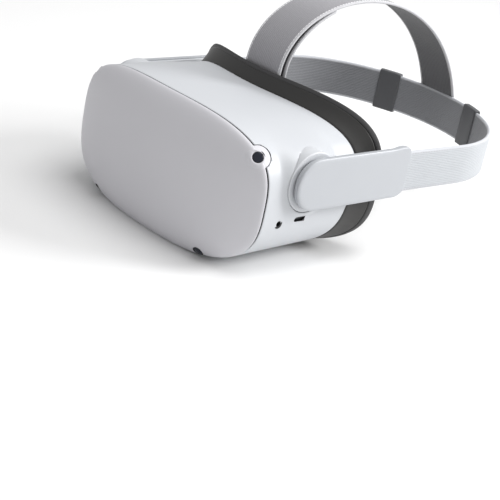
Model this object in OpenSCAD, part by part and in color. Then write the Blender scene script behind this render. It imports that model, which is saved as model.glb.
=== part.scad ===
// Standalone head-worn display: visor, removable face piece, swivelling side arms and straps.
// +X is the wearer's left, +Y points back to the head, +Z is up, the visor stands on Z = 0.

/* [Visor] */
// Height of the visor shell
visor_h = 93.4; // [90:0.2:97]
// Half of the front cover's width
cover_half_w = 90; // [86:0.5:93]
// Corner exponent of the front outline, 2 is an ellipse
front_n = 3.07; // [2.6:0.01:3.6]
// How far the seam curves back at the sides
seam_bow = 9.3; // [4:0.1:14]
// Height of the front cover's dome
dome = 12; // [8:0.5:14]
// Distance from the seam to the shell's back rim, at the centre
shell_d = 64; // [58:0.5:70]
// How far the back rim curves back at the sides
rim_bow = 27; // [20:0.5:32]
// Wall thickness of the shell and the cover
wall = 2.2; // [1.6:0.1:2.8]

/* [Back bezel] */
// Height of the bezel's ridge above the base
ridge_h = 103.7; // [99:0.1:106]
// Half of the ridge's width
ridge_half_w = 87.8; // [84:0.1:89]
// Distance from the seam to the ridge, at half height
ridge_d = 77.2; // [74:0.1:80]
// How far the ridge curves back at the sides
ridge_bow = 35.65; // [30:0.05:38]

/* [Face piece] */
// Depth of the foam cushion
foam_d = 12; // [8:0.5:14]
// Width of the foam's face
foam_w = 9; // [7:0.5:10]

/* [Optics] */
// Distance between the lens centres
lens_gap = 63; // [61:0.5:64]
// Radius of a lens
lens_r = 20.5; // [18:0.5:21]
// Module of the spacing gear
gear_m = 0.8; // [0.7:0.05:0.9]
// Teeth on the spacing gear
gear_teeth = 12; // [12:2:14]

/* [Arms] */
// Distance from the centre plane to an arm's outer face
arm_x = 95.75; // [95:0.05:97]
// Radius of the arm's round end
arm_r = 17; // [16:0.1:20]
// Distance from the pivot to the end of the rigid arm
arm_len = 84; // [78:0.5:88]
// Radius of the pivot pin
pivot_r = 4; // [3:0.1:5]

/* [Straps] */
// Height of the side strap
strap_h = 28; // [26:0.5:30]
// Thickness of the side strap
strap_t = 2.6; // [2:0.1:3]
// Radius of the side strap round the back of the head
strap_back_r = 110; // [108:1:122]
// Half of the angle of that back arc
strap_back_a = 34; // [30:0.5:36]
// Width of the top strap
top_w = 33; // [28:0.5:36]
// Thickness of the top strap
top_t = 1.8; // [1.4:0.1:2.2]

/* [Hidden] */

$fn = 64;
eps = 0.01;
// Points on each ring of a lofted shell
ring_pts = 72;
// Extra depth of the lower half of each outline, cut off flat at the base
base_cut = 0.9;
// Centre of the seam between the cover and the shell
seam_y = -128;
mid_z = visor_h / 2;
seam_gap = 0.5;
// Depth of the cover's lip inside the shell
lip_d = 3;
// The shell's back rim
rim_half_w = 85;
rim_n = 3.2;
rim_tilt = 0.13;
rim_drop = 0.5;
// The bezel's ridge
ridge_n = 3.38;
ridge_tilt = -0.07;
bezel_t = 2.6;
// Arm pivot axis, parallel to X
pivot_y = seam_y + 46;
pivot_z = mid_z + 14.6;
hub_r = 19.8;
hub_root_r = 23.5;
hub_root_x = 60;
hub_x = 90.3;
washer_t = 0.5;
washer_r = 9;
arm_in_x = hub_x + washer_t;
arm_plate_t = 1.2;
arm_split_x = arm_in_x + arm_plate_t;
pin_root_x = 78;
pin_head_r = 6;
pin_head_t = 1.2;
// Running clearance on a radius, and the gap between loose neighbours
run = 0.05;
gap = 0.3;
// Lens group
lens_z = mid_z + 1;
barrel_r = lens_r + 2;
barrel_y = -106.5;
barrel_end = -77.5;
lens_seat_y = -84;
rail_r = 1.5;
rail_dz = 27;
rail_y = -98;
rail_half = 61;
lug_half_w = 9;
lug_half_t = 3;
lens_travel = 2.5;
gear_y = -102;
gear_t = 2;
gear_pin_r = 1.5;
gear_r = gear_m * gear_teeth / 2;
rack_pitch = PI * gear_m;
tooth_add = 0.85 * gear_m;
tooth_ded = 1.15 * gear_m;
rack_in_x = -4.3;
// Circuit boards and cooling, from the front to the back
board_y = -120.2;
board_t = 1.2;
frame_y = -117;
frame_t = 2;
bracket_y = frame_y + frame_t;
bracket_end = -108;
panel_y = -112.5;
panel_t = 1.6;
fan_x = 25;
fan_r = 16.3;
fan_bore_r = 17;
fan_half = 19.5;
fan_y = -131.8;
fan_d = 5.5;
fan_pin_r = 2;
screw_x = 55;
screw_dz = 24;
// Lens surround
surround_y = -76;
surround_t = 1.5;
// Face piece: its outline, and the hole for the nose
face_half_w = 81.5;
face_top = 88.3;
face_low = 3.6;
face_half_h = (face_top - face_low) / 2;
face_zc = (face_top + face_low) / 2;
face_n = 3.3;
face_y = seam_y + ridge_d;
nose_r = 17;
// Side strap: outer face beside the arms, round the sides and round the back
strap_z = pivot_z;
strap_back_y = 142.3;
strap_side_x = 97;
strap_in_x = arm_x - 0.9;
strap_start_y = pivot_y + arm_len - 12;
strap_side_r = (strap_side_x - strap_back_r * sin(strap_back_a)) / (1 - sin(strap_back_a));
strap_arc_x = (strap_back_r - strap_side_r) * sin(strap_back_a);
strap_back_c = strap_back_y - strap_back_r;
strap_arc_y = strap_back_c + (strap_back_r - strap_side_r) * cos(strap_back_a);
// Strap sliders, angles from the middle of the back
slider_a = 22;
slider_half_a = 4.6;
slider_wall = 1.1;
slider_rise = 1.4;
patch_half_a = 9;
patch_t = 1.2;
// Top strap: its curve in the centre plane, as two ends and two handles
bar_r = 1.5;
bar_y = -47.5;
bar_z = 95;
bar_half = 20;
// Side outline of a bar bracket about the bar, from the bezel's wall to behind the bar
bracket_side = [[-8.65, -2], [-6, 5.5], [-3, 5.5], [3, 3], [3, -3], [-5.5, -3]];
bracket_t = 3;
top_front_y = bar_y - bar_r - gap - top_t / 2;
top_curve = [[top_front_y, bar_z], [-62.5, 164.5], [96, 180.5], [strap_back_y - 1.3, strap_z + strap_h / 2]];
top_steps = 28;
// Part of the curve that is doubled by the folded end
fold_end = 0.36;
// Tracking cameras: place on the left of the cover and direction of view
camera_upper_at = [77.6, seam_y + 7.5, mid_z + 29.8];
camera_upper_dir = [0.62, -0.66, 0.42];
camera_lower_at = [51.2, seam_y + 0.4, mid_z - 41.0];
camera_lower_dir = [0.3, -0.8, -0.52];
camera_r = 4.5;
camera_d = 6;
// Sockets on the visor's left side
audio_y = seam_y + 25.4;
audio_z = mid_z - 11.1;
audio_r = 1.8;
audio_body_r = 3.2;
audio_depth = 14;
audio_x = 88.6;
usb_y = seam_y + 44.5;
usb_z = mid_z - 10.5;
usb_w = 9;
usb_h = 3.2;
usb_wall = 0.4;
usb_x = 87.4;
usb_depth = 6.6;
// Controls: power button and light on the right side, volume rocker in the base
power_y = seam_y + 30;
power_z = mid_z - 12;
power_r = 5;
power_x = 88.9;
light_y = power_y + 11;
rocker_x = 40;
rocker_y = seam_y + 30;
rocker_half_l = 12;
rocker_half_w = 2.5;
rocker_top = 3.2;

// ---------- Shared shapes ----------

function sup_x(a, n, t) = a * sign(cos(t)) * pow(abs(cos(t)), 2 / n);
function sup_z(b, n, t) = b * sign(sin(t)) * pow(abs(sin(t)), 2 / n);
function mix(p, q, s) = p + (q - p) * s;
function sum_of(v, i = 0) = i < len(v) ? v[i] + sum_of(v, i + 1) : 0;
function mean(pts) = [for (k = [0:2]) sum_of([for (p = pts) p[k]]) / len(pts)];

// A ring with a superellipse outline: half width a, half height b, bowed back by bow at its
// sides, tilted with height, and cut off flat at height base
function ring(a, b, n, y, bow = 0, tilt = 0, zc = mid_z, base = 0) = [
    for (i = [0:ring_pts - 1])
        let (
            t = 360 * (i + 0.5) / ring_pts,
            x = sup_x(a, n, t),
            z = sup_z(b, n, t),
            low = z < 0 ? z * (b + base_cut) / b : z
        ) [x, y + bow * pow(x / a, 2) + tilt * z, max(zc + low, base)]
];

// Point by point blend of two rings
function ring_mix(p, q, s) = [for (i = [0:len(p) - 1]) mix(p[i], q[i], s)];

// A closed solid through rings that run from front to back
module loft(rings) {
    n = len(rings[0]);
    m = len(rings);
    points = concat([for (r = rings) each r], [mean(rings[0]), mean(rings[m - 1])]);
    faces = concat(
        [for (k = [0:m - 2], i = [0:n - 1]) [k * n + i, k * n + (i + 1) % n, (k + 1) * n + (i + 1) % n]],
        [for (k = [0:m - 2], i = [0:n - 1]) [k * n + i, (k + 1) * n + (i + 1) % n, (k + 1) * n + i]],
        [for (i = [0:n - 1]) [n * m, (i + 1) % n, i]],
        [for (i = [0:n - 1]) [n * m + 1, (m - 1) * n + i, (m - 1) * n + (i + 1) % n]]
    );
    polyhedron(points, faces, convexity = 6);
}

// Box from its lowest corner to its highest
module block(low, high) {
    translate(low) cube(high - low);
}

module rod_x(at, r, len) {
    translate(at) rotate([0, 90, 0]) cylinder(r = r, h = len);
}

module rod_y(at, r, len) {
    translate(at) rotate([-90, 0, 0]) cylinder(r = r, h = len);
}

// Leaves the left-hand shape as it is, or mirrors it to the right
module on(side) {
    mirror([side == "right" ? 1 : 0, 0, 0]) children();
}

// ---------- Visor shell ----------

function shell_ring(s, inset) = ring(
    mix(cover_half_w, rim_half_w, s) - inset, visor_h / 2 - rim_drop * s - inset,
    mix(front_n, rim_n, s), seam_y + shell_d * s, mix(seam_bow, rim_bow, s),
    rim_tilt * s, mid_z - rim_drop * s, inset);

module shell_solid(inset, front = 0, back = 1) {
    loft([for (s = [front, 0.06, 0.25, 0.5, 0.75, back]) shell_ring(s, inset)]);
}

// Domed plate drawn in by inset, with its edge carried back by back
module cover_solid(inset, back, steps = [0.02, 0.4, 0.7, 0.88, 0.96, 1]) {
    a = cover_half_w - inset;
    b = visor_h / 2 - inset;
    y = seam_y - seam_gap;
    loft(concat(
        [for (k = steps) ring(a * k, b * k, front_n, y - (dome - inset) * sqrt(1 - pow(k, 2.6)),
            seam_bow * k * k, 0, mid_z, inset)],
        [ring(a, b, front_n, y + back, seam_bow, 0, mid_z, inset)]));
}

// Cylinder along a camera's line of sight
module sight_rod(at, dir, r, from, len) {
    translate(at)
        rotate([0, acos(dir[2] / norm(dir)), atan2(dir[1], dir[0])])
            translate([0, 0, from]) cylinder(r = r, h = len);
}

module cameras_cut() {
    for (side = ["left", "right"]) on(side) {
        sight_rod(camera_upper_at, camera_upper_dir, camera_r + run, -9, 20);
        sight_rod(camera_lower_at, camera_lower_dir, camera_r + run, -9, 20);
    }
}

module front_cover() color([0.70, 0.70, 0.72]) difference() {
    union() {
        cover_solid(0, eps, [0.02, 0.25, 0.45, 0.62, 0.76, 0.87, 0.94, 0.975, 0.995, 1]);
        cover_solid(wall + gap / 3, lip_d);
    }
    cover_solid(2 * wall, lip_d + 1);
    cameras_cut();
}

module main_shell() color([0.88, 0.88, 0.90]) difference() {
    shell_solid(0);
    shell_solid(wall, -0.02, 1.02);
    cameras_cut();
    rod_x([60, audio_y, audio_z], audio_body_r, 40);
    block([60, usb_y - usb_w / 2 - usb_wall, usb_z - usb_h / 2 - usb_wall],
          [100, usb_y + usb_w / 2 + usb_wall, usb_z + usb_h / 2 + usb_wall]);
    rod_x([-100, power_y, power_z], power_r + gap, 20);
    rod_x([-100, light_y, power_z], 1.2, 20);
    for (x = [60, -100]) rod_x([x, pivot_y, pivot_z], pivot_r, 40);
    block([rocker_x - rocker_half_l - gap, rocker_y - rocker_half_w - gap, -1],
          [rocker_x + rocker_half_l + gap, rocker_y + rocker_half_w + gap, 5]);
}

// ---------- Back bezel ----------

// Ridge ring, moved back by y and drawn in by inset
function ridge_ring(y, inset) = ring(
    ridge_half_w - inset, ridge_h / 2 - inset, ridge_n,
    seam_y + ridge_d + y, ridge_bow, ridge_tilt, ridge_h / 2, inset);

module back_bezel() color([0.16, 0.16, 0.17]) {
    difference() {
        loft([for (s = [0, 0.35, 0.7, 1]) ring_mix(shell_ring(1, 0), ridge_ring(0, 0), s)]);
        loft([ring_mix(shell_ring(1, bezel_t), ridge_ring(0, bezel_t), -0.1),
              ring_mix(shell_ring(1, bezel_t), ridge_ring(0, bezel_t), 1.1)]);
    }
    for (side = ["left", "right"]) on(side)
        difference() {
            translate([bar_half - bracket_t, bar_y, bar_z])
                rotate([90, 0, 90]) linear_extrude(bracket_t) polygon(bracket_side);
            rod_x([0, bar_y, bar_z], bar_r, 40);
        }
}

module strap_bar() color([0.55, 0.55, 0.57]) {
    rod_x([-bar_half, bar_y, bar_z], bar_r, 2 * bar_half);
}

// ---------- Frame, boards and cooling ----------

module at_screws() {
    for (x = [-screw_x, screw_x], z = [-screw_dz, screw_dz]) translate([x, 0, mid_z + z]) children();
}

module mid_frame() color([0.45, 0.46, 0.48]) difference() {
    intersection() {
        shell_solid(wall + eps);
        union() {
            loft([for (y = [frame_y, bracket_y]) ring(83, 41.5, front_n, y, base = 5.2)]);
            for (x = [-43, 43]) block([x - 4, frame_y, 0], [x + 4, bracket_y, visor_h]);
        }
    }
    at_screws() rod_y([0, frame_y - 1, 0], 1.2, 5);
    cameras_cut();
    block([-40, frame_y - 1, mid_z - 20], [-12, bracket_y + 1, mid_z + 20]);
    block([12, frame_y - 1, mid_z - 20], [40, bracket_y + 1, mid_z + 20]);
}

module frame_screws() color([0.30, 0.30, 0.32]) {
    at_screws() {
        rod_y([0, board_y, 0], 1.2, 4.8);
        rod_y([0, board_y - 1.4, 0], 2.2, 1.4);
    }
}

module mainboard() color([0.08, 0.30, 0.18]) difference() {
    block([-60, board_y, mid_z - 29], [60, board_y + board_t, mid_z + 29]);
    at_screws() rod_y([0, board_y - 1, 0], 1.2, 4);
}

module processor_shield() color([0.75, 0.75, 0.77]) {
    block([fan_x - 15, board_y - 2, mid_z - 15], [fan_x + 15, board_y, mid_z + 15]);
}

module heat_sink() color([0.62, 0.63, 0.65]) {
    base_y = board_y - 3.2;
    block([fan_x - 18, base_y, mid_z - 18], [fan_x + 18, base_y + 1.2, mid_z + 18]);
    for (i = [-6:6]) block([fan_x + 2.8 * i - 0.4, fan_y + fan_d, mid_z - 18],
                           [fan_x + 2.8 * i + 0.4, base_y, mid_z + 18]);
}

module fan_housing() color([0.12, 0.12, 0.13]) {
    difference() {
        block([fan_x - fan_half, fan_y, mid_z - fan_half],
              [fan_x + fan_half, fan_y + fan_d, mid_z + fan_half]);
        rod_y([fan_x, fan_y - 1, mid_z], fan_bore_r, fan_d + 2);
    }
    for (a = [30, 150, 270]) translate([fan_x, fan_y, mid_z]) rotate([0, a, 0])
        block([0, 0, -1], [fan_bore_r + 0.5, 0.8, 1]);
    rod_y([fan_x, fan_y, mid_z], 5, 0.8);
    rod_y([fan_x, fan_y, mid_z], fan_pin_r, 4.6);
}

module fan_rotor() color([0.20, 0.20, 0.22]) translate([fan_x, fan_y + 1.2, mid_z]) difference() {
    union() {
        rod_y([0, 0, 0], 6, 3.8);
        for (i = [0:8]) rotate([0, 40 * i, 0]) translate([5, 0, 0]) rotate([35, 0, 0])
            block([0, 0.6, -0.4], [fan_r - 5, 3.2, 0.4]);
    }
    rod_y([0, -1, 0], fan_pin_r + run, 6);
}

module battery() color([0.22, 0.24, 0.28]) {
    block([-56, board_y - 7, mid_z - 20], [-4, board_y, mid_z + 20]);
}

// ---------- Optics ----------

module optics_bracket() color([0.14, 0.14, 0.15]) difference() {
    union() {
        difference() {
            block([-66, bracket_y, mid_z - 36], [66, bracket_end, mid_z + 36]);
            block([-58, bracket_y - 1, mid_z - 29], [58, bracket_end + 1, mid_z + 29]);
        }
        block([-2.5, bracket_end - 1.5, mid_z - 30], [2.5, bracket_end, mid_z + 30]);
        for (x = [-rail_half, rail_half - 3], z = [-rail_dz, rail_dz])
            block([x, bracket_end - 1, lens_z + z - 3], [x + 3, rail_y + 3, lens_z + z + 3]);
        rod_y([0, bracket_end - 1, lens_z], gear_pin_r, gear_y + gear_t - bracket_end + 1.6);
        rod_y([0, bracket_end - 1, lens_z], 3.5, gear_y - bracket_end + 0.8);
    }
    block([-61.6, bracket_y - 1, mid_z - 32.6], [61.6, panel_y + panel_t, mid_z + 32.6]);
    for (z = [-rail_dz, rail_dz]) rod_x([-70, rail_y, lens_z + z], rail_r, 140);
}

module display_panel() color([0.03, 0.04, 0.06]) {
    block([-61.4, panel_y, mid_z - 32.4], [61.4, panel_y + panel_t, mid_z + 32.4]);
}

module lens_rail(dz) {
    rod_x([-rail_half, rail_y, lens_z + dz], rail_r, 2 * rail_half);
}

module lens_rail_upper() color([0.70, 0.70, 0.72]) lens_rail(rail_dz);

module lens_rail_lower() color([0.70, 0.70, 0.72]) lens_rail(-rail_dz);

// Straight-sided tooth from the root line to the tip line, centred on X = 0
module tooth(half_root, half_tip, ded, add) {
    polygon([[-half_root, -ded], [half_root, -ded], [half_tip, add], [-half_tip, add]]);
}

// Toothed bar on the side of a barrel that runs above the spacing gear
module rack() {
    z = lens_z + gear_r;
    block([rack_in_x, gear_y, z + tooth_ded],
          [lens_gap / 2 - barrel_r + 2, gear_y + gear_t, z + tooth_ded + 2.4]);
    for (i = [-1:2]) translate([rack_pitch * (i + 0.5), gear_y + gear_t, z])
        rotate([90, 0, 0]) mirror([0, 1, 0]) linear_extrude(gear_t)
            tooth(0.66, 0.3, tooth_ded + eps, tooth_add);
}

// One lens barrel: tube, lugs for both rails and the rack
module lens_barrel(side) {
    flip = side == "right" ? 180 : 0;
    translate([0, 0, lens_z]) rotate([0, flip, 0]) translate([0, 0, -lens_z]) {
        difference() {
            union() {
                rod_y([lens_gap / 2, barrel_y, lens_z], barrel_r, barrel_end - barrel_y);
                for (low = [0, 1]) translate([lens_gap / 2, rail_y, lens_z]) mirror([0, 0, low])
                    block([-lug_half_w, -lug_half_t, rail_dz - 11], [lug_half_w, lug_half_t, rail_dz + 3.5]);
                rack();
            }
            rod_y([lens_gap / 2, barrel_y - 1, lens_z], lens_r - 1, 40);
            rod_y([lens_gap / 2, lens_seat_y, lens_z], lens_r, 10);
            for (z = [-rail_dz, rail_dz]) rod_x([-10, rail_y, lens_z + z], rail_r + run, 80);
        }
    }
}

module lens_barrel_left() color([0.15, 0.15, 0.16]) lens_barrel("left");

module lens_barrel_right() color([0.15, 0.15, 0.16]) lens_barrel("right");

// Two-sided convex lens with a flat edge, turned about the line of sight
module lens() {
    edge = 2.4;
    crown = 2.6;
    ball = (lens_r * lens_r + crown * crown) / (2 * crown);
    steps = 8;
    bulge = [for (i = [0:steps]) let (r = lens_r * i / steps) [r, sqrt(ball * ball - r * r) - ball + crown]];
    translate([lens_gap / 2, lens_seat_y + crown, lens_z]) rotate([-90, 0, 0]) rotate_extrude()
        polygon(concat(
            [for (p = bulge) [p[0], edge + p[1]]],
            [for (i = [steps:-1:0]) [bulge[i][0], -bulge[i][1]]]));
}

module lens_left() color([0.80, 0.86, 0.90]) lens();

module lens_right() color([0.80, 0.86, 0.90]) on("right") lens();

module spacing_gear() color([0.85, 0.84, 0.78]) translate([0, gear_y + gear_t, lens_z]) rotate([90, 0, 0])
    linear_extrude(gear_t) difference() {
        union() {
            circle(r = gear_r - tooth_ded + 0.05);
            for (i = [0:gear_teeth - 1]) rotate(360 * i / gear_teeth) translate([0, gear_r])
                tooth(0.62, 0.3, tooth_ded, tooth_add);
        }
        circle(r = gear_pin_r + run);
    }

module lens_surround() color([0.10, 0.10, 0.11]) difference() {
    intersection() {
        shell_solid(wall + eps);
        block([-90, surround_y, 0], [90, surround_y + surround_t, visor_h]);
    }
    for (side = ["left", "right"]) on(side) {
        for (d = [-lens_travel - 0.5, lens_travel + 0.5])
            rod_y([lens_gap / 2 + d, surround_y - 1, lens_z], lens_r + 0.6, 4);
        block([lens_gap / 2 - lens_travel, surround_y - 1, lens_z - lens_r - 0.6],
              [lens_gap / 2 + lens_travel, surround_y + 3, lens_z + lens_r + 0.6]);
    }
    rod_y([0, surround_y - 1, lens_z + 22], 3, 4);
}

module proximity_window() color([0.05, 0.03, 0.05]) {
    rod_y([0, surround_y, lens_z + 22], 3, surround_t);
}

// ---------- Tracking cameras ----------

module camera(side, at, dir) color([0.08, 0.08, 0.09]) on(side) difference() {
    sight_rod(at, dir, camera_r, -camera_d, camera_d + 0.6);
    sight_rod(at, dir, camera_r - 1.2, -1.4, 3);
}

module camera_lens(side, at, dir) color([0.02, 0.02, 0.04]) on(side) {
    sight_rod(at, dir, camera_r - 1.2, -1.4, 1.6);
}

module camera_upper_left() camera("left", camera_upper_at, camera_upper_dir);

module camera_upper_right() camera("right", camera_upper_at, camera_upper_dir);

module camera_lower_left() camera("left", camera_lower_at, camera_lower_dir);

module camera_lower_right() camera("right", camera_lower_at, camera_lower_dir);

module camera_lens_upper_left() camera_lens("left", camera_upper_at, camera_upper_dir);

module camera_lens_upper_right() camera_lens("right", camera_upper_at, camera_upper_dir);

module camera_lens_lower_left() camera_lens("left", camera_lower_at, camera_lower_dir);

module camera_lens_lower_right() camera_lens("right", camera_lower_at, camera_lower_dir);

// ---------- Arms ----------

module pivot_hub(side) color([0.86, 0.86, 0.88]) on(side) difference() {
    translate([hub_root_x, pivot_y, pivot_z]) rotate([0, 90, 0])
        cylinder(r1 = hub_root_r, r2 = hub_r, h = hub_x - hub_root_x);
    shell_solid(0, -0.05, 1.05);
    rod_x([hub_root_x - 1, pivot_y, pivot_z], pivot_r, 40);
}

module pivot_pin(side) color([0.60, 0.60, 0.62]) on(side) {
    rod_x([pin_root_x, pivot_y, pivot_z], pivot_r, arm_split_x + 0.1 + pin_head_t - pin_root_x);
    rod_x([arm_split_x + 0.1, pivot_y, pivot_z], pin_head_r, pin_head_t);
    rod_x([pin_root_x, pivot_y, pivot_z], pin_head_r, 2);
}

module pivot_washer(side) color([0.70, 0.70, 0.72]) on(side) difference() {
    rod_x([hub_x, pivot_y, pivot_z], washer_r, washer_t);
    rod_x([hub_x - 1, pivot_y, pivot_z], pivot_r, 3);
}

// Side outline of the arm, with the pivot at the origin and the head end along +X
module arm_outline(inset = 0) {
    r = arm_r - inset;
    low = strap_z - pivot_z - strap_h / 2;
    high = strap_z - pivot_z + strap_h / 2;
    circle(r = r);
    polygon([
        [0, -r], [arm_len - 8, -r], [arm_len - 4.5, -r + 0.7], [arm_len - 0.8, low + 0.2 + inset],
        [arm_len, low + 1.4 + inset], [arm_len, high - 1.4 - inset], [arm_len - 0.6, high + 0.5 - inset],
        [arm_len - 2.6, r + 0.3], [arm_len - 5, r + 0.8], [arm_len - 10, r + 0.8],
        [arm_len - 14, r + 0.2], [arm_len - 17, r], [0, r]
    ]);
}

// Extrusion of a side outline about the pivot, from x to x + t
module side_plate(x, t) {
    translate([x, pivot_y, pivot_z]) rotate([90, 0, 90]) linear_extrude(t) children();
}

module arm_plate(side) color([0.80, 0.81, 0.83]) on(side) difference() {
    side_plate(arm_in_x, arm_plate_t) arm_outline(0.7);
    rod_x([80, pivot_y, pivot_z], pivot_r + run, 20);
}

module arm_cover(side) color([0.83, 0.84, 0.86]) on(side) difference() {
    side_plate(arm_split_x, arm_x - arm_split_x) arm_outline();
    rod_x([arm_split_x - 1, pivot_y, pivot_z], pin_head_r + gap, 2.6);
    block([arm_split_x - 1, pivot_y + 28, pivot_z - 8], [arm_split_x + 2.4, pivot_y + 52, pivot_z + 8]);
    block([arm_split_x - 1, strap_start_y - 6.6, strap_z - strap_h / 2 - gap],
          [strap_in_x + gap, pivot_y + arm_len + 1, strap_z + strap_h / 2 + gap]);
}

module speaker(side) color([0.10, 0.10, 0.11]) on(side) {
    block([arm_split_x, pivot_y + 29, pivot_z - 7], [arm_split_x + 2.2, pivot_y + 51, pivot_z + 7]);
}

module strap_clip(side) color([0.25, 0.25, 0.26]) on(side) {
    block([arm_split_x, strap_start_y - 6.3, strap_z - 12], [strap_in_x, strap_start_y - gap, strap_z + 12]);
}

module pivot_hub_left() pivot_hub("left");

module pivot_hub_right() pivot_hub("right");

module pivot_pin_left() pivot_pin("left");

module pivot_pin_right() pivot_pin("right");

module pivot_washer_left() pivot_washer("left");

module pivot_washer_right() pivot_washer("right");

module arm_plate_left() arm_plate("left");

module arm_plate_right() arm_plate("right");

module arm_cover_left() arm_cover("left");

module arm_cover_right() arm_cover("right");

module speaker_left() speaker("left");

module speaker_right() speaker("right");

module strap_clip_left() strap_clip("left");

module strap_clip_right() strap_clip("right");

// ---------- Straps ----------

// Band that turns about a vertical axis at c: outer radius r, thickness t, from angle a0 to a1
module arc_band(c, r, t, a0, a1, z0, z1) {
    translate([c[0], c[1], z0]) rotate([0, 0, a0]) rotate_extrude(angle = a1 - a0, $fn = 180)
        translate([r - t, 0]) square([t, z1 - z0]);
}

function arc_pts(c, r, a0, a1, step = 2) = [for (a = [a0:step:a1]) [c[0] + r * cos(a), c[1] + r * sin(a)]];

function turned(pts) = [for (i = [len(pts) - 1:-1:0]) pts[i]];

// Left half of the side strap's outline, drawn in by d, from the arm to the middle of the back
function strap_half(d) = concat(
    [[strap_in_x - d, strap_start_y], [strap_in_x - d, pivot_y + arm_len + 2]],
    arc_pts([strap_arc_x, strap_arc_y], strap_side_r - d, 0, 90 - strap_back_a - 1),
    arc_pts([0, strap_back_c], strap_back_r - d, 90 - strap_back_a, 90));

function strap_path(d) = let (half = strap_half(d))
    concat(half, [for (p = turned(half)) if (p[0] > 1) [-p[0], p[1]]]);

module side_strap() color([0.78, 0.79, 0.81]) {
    translate([0, 0, strap_z - strap_h / 2]) linear_extrude(strap_h)
        polygon(concat(strap_path(0), turned(strap_path(strap_t))));
}

// Buckle that slides on the back arc: front and back plates joined above and below
module strap_slider(side) color([0.22, 0.22, 0.23]) on(side) {
    a0 = 90 - slider_a - slider_half_a;
    a1 = 90 - slider_a + slider_half_a;
    low = strap_z - strap_h / 2 - slider_rise;
    high = strap_z + strap_h / 2 + slider_rise;
    centre = [0, strap_back_c];
    difference() {
        arc_band(centre, strap_back_r + slider_wall, strap_t + 2 * slider_wall, a0, a1, low, high);
        arc_band(centre, strap_back_r + gap, strap_t + 2 * gap, a0 - 1, a1 + 1,
            low + slider_rise - gap, high - slider_rise + gap);
    }
}

module strap_slider_left() strap_slider("left");

module strap_slider_right() strap_slider("right");

module strap_patch() color([0.45, 0.45, 0.47]) {
    arc_band([0, strap_back_c], strap_back_r + patch_t, patch_t, 90 - patch_half_a, 90 + patch_half_a,
        strap_z - 9, strap_z + strap_h / 2);
}

// Point, direction and inward normal of the top strap's curve
function bez(p, u) = pow(1 - u, 3) * p[0] + 3 * u * pow(1 - u, 2) * p[1]
    + 3 * u * u * (1 - u) * p[2] + pow(u, 3) * p[3];
function bez_dir(p, u) = let (d = pow(1 - u, 2) * (p[1] - p[0]) + 2 * u * (1 - u) * (p[2] - p[1])
    + u * u * (p[3] - p[2])) d / norm(d);
function bez_in(p, u) = let (d = bez_dir(p, u)) [d[1], -d[0]];

// Strip along the curve from u = 0 to u1, at inward offsets given by functions of u
module strip(u1, near, far) {
    us = [for (i = [0:top_steps]) u1 * i / top_steps];
    translate([-top_w / 2, 0, 0]) rotate([90, 0, 90]) linear_extrude(top_w)
        polygon(concat(
            [for (u = us) bez(top_curve, u) + near(u) * bez_in(top_curve, u)],
            [for (i = [top_steps:-1:0]) let (u = us[i]) bez(top_curve, u) + far(u) * bez_in(top_curve, u)]));
}

module top_strap() color([0.65, 0.65, 0.67]) {
    strip(1, function (u) -top_t / 2, function (u) top_t / 2);
    difference() {
        rod_x([-top_w / 2, bar_y, bar_z], bar_r + gap + top_t, top_w);
        rod_x([-top_w / 2 - 1, bar_y, bar_z], bar_r + gap, top_w + 2);
        block([-20, bar_y - 9, bar_z], [20, bar_y + 9, bar_z + 9]);
    }
}

// Offset of the folded end below the strap: from the far side of the bar to lying against it
function fold_off(u) = let (w = u / fold_end)
    mix(2 * (bar_r + gap) + top_t, top_t, pow(w, 0.8)) + 1.6 * sin(180 * w);

module top_strap_fold() color([0.30, 0.30, 0.31]) {
    strip(fold_end, function (u) fold_off(u) - top_t / 2, function (u) fold_off(u) + top_t / 2);
}

// ---------- Face piece ----------

// Ring of the face piece at depth y behind the ridge's middle, drawn in by inset
function face_ring(y, inset, bow = ridge_bow) = ring(
    face_half_w - inset, face_half_h - inset, face_n, face_y + y, bow, ridge_tilt / 2,
    face_zc, face_low + inset);

// Space for the nose through the lower edge
module nose_cut() {
    translate([0, -90, 0]) rotate([-90, 0, 0]) linear_extrude(120) scale([1, -1]) {
        circle(r = nose_r);
        polygon([[-25, -20], [25, -20], [15.5, 8], [-15.5, 8]]);
    }
}

module face_frame() color([0.13, 0.13, 0.14]) difference() {
    loft([face_ring(-16, 4, 27), face_ring(-8, 1.2, 31), face_ring(-3, 0), face_ring(0, 0)]);
    loft([face_ring(-40, 6, 0), face_ring(-17, 6, 27), face_ring(-8, 3.2, 31), face_ring(0, 4.5),
          face_ring(60, 4.5, 0)]);
    nose_cut();
}

module foam_cushion() color([0.20, 0.20, 0.21]) difference() {
    loft([face_ring(0, 0), face_ring(foam_d * 0.5, 0.2), face_ring(foam_d * 0.85, 1.5),
          face_ring(foam_d, 4)]);
    loft([face_ring(-40, foam_w, 0), face_ring(0, foam_w), face_ring(foam_d, foam_w),
          face_ring(80, foam_w, 0)]);
    nose_cut();
}

module nose_flap() color([0.09, 0.09, 0.10]) {
    translate([0, face_y - 12, 0]) rotate([-90, 0, 0]) linear_extrude(1.2) scale([1, -1]) difference() {
        circle(r = nose_r);
        circle(r = nose_r - 6);
        translate([-20, -20]) square([40, 27]);
    }
}

// ---------- Controls and sockets ----------

module power_button() color([0.80, 0.80, 0.82]) {
    rod_x([-power_x, power_y, power_z], power_r, 4.4);
    rod_x([4.4 - power_x, power_y, power_z], power_r + 1.2, 1);
}

module status_light() color([0.95, 0.95, 0.90]) {
    rod_x([-power_x + 0.5, light_y, power_z], 1.2, 3);
}

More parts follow.
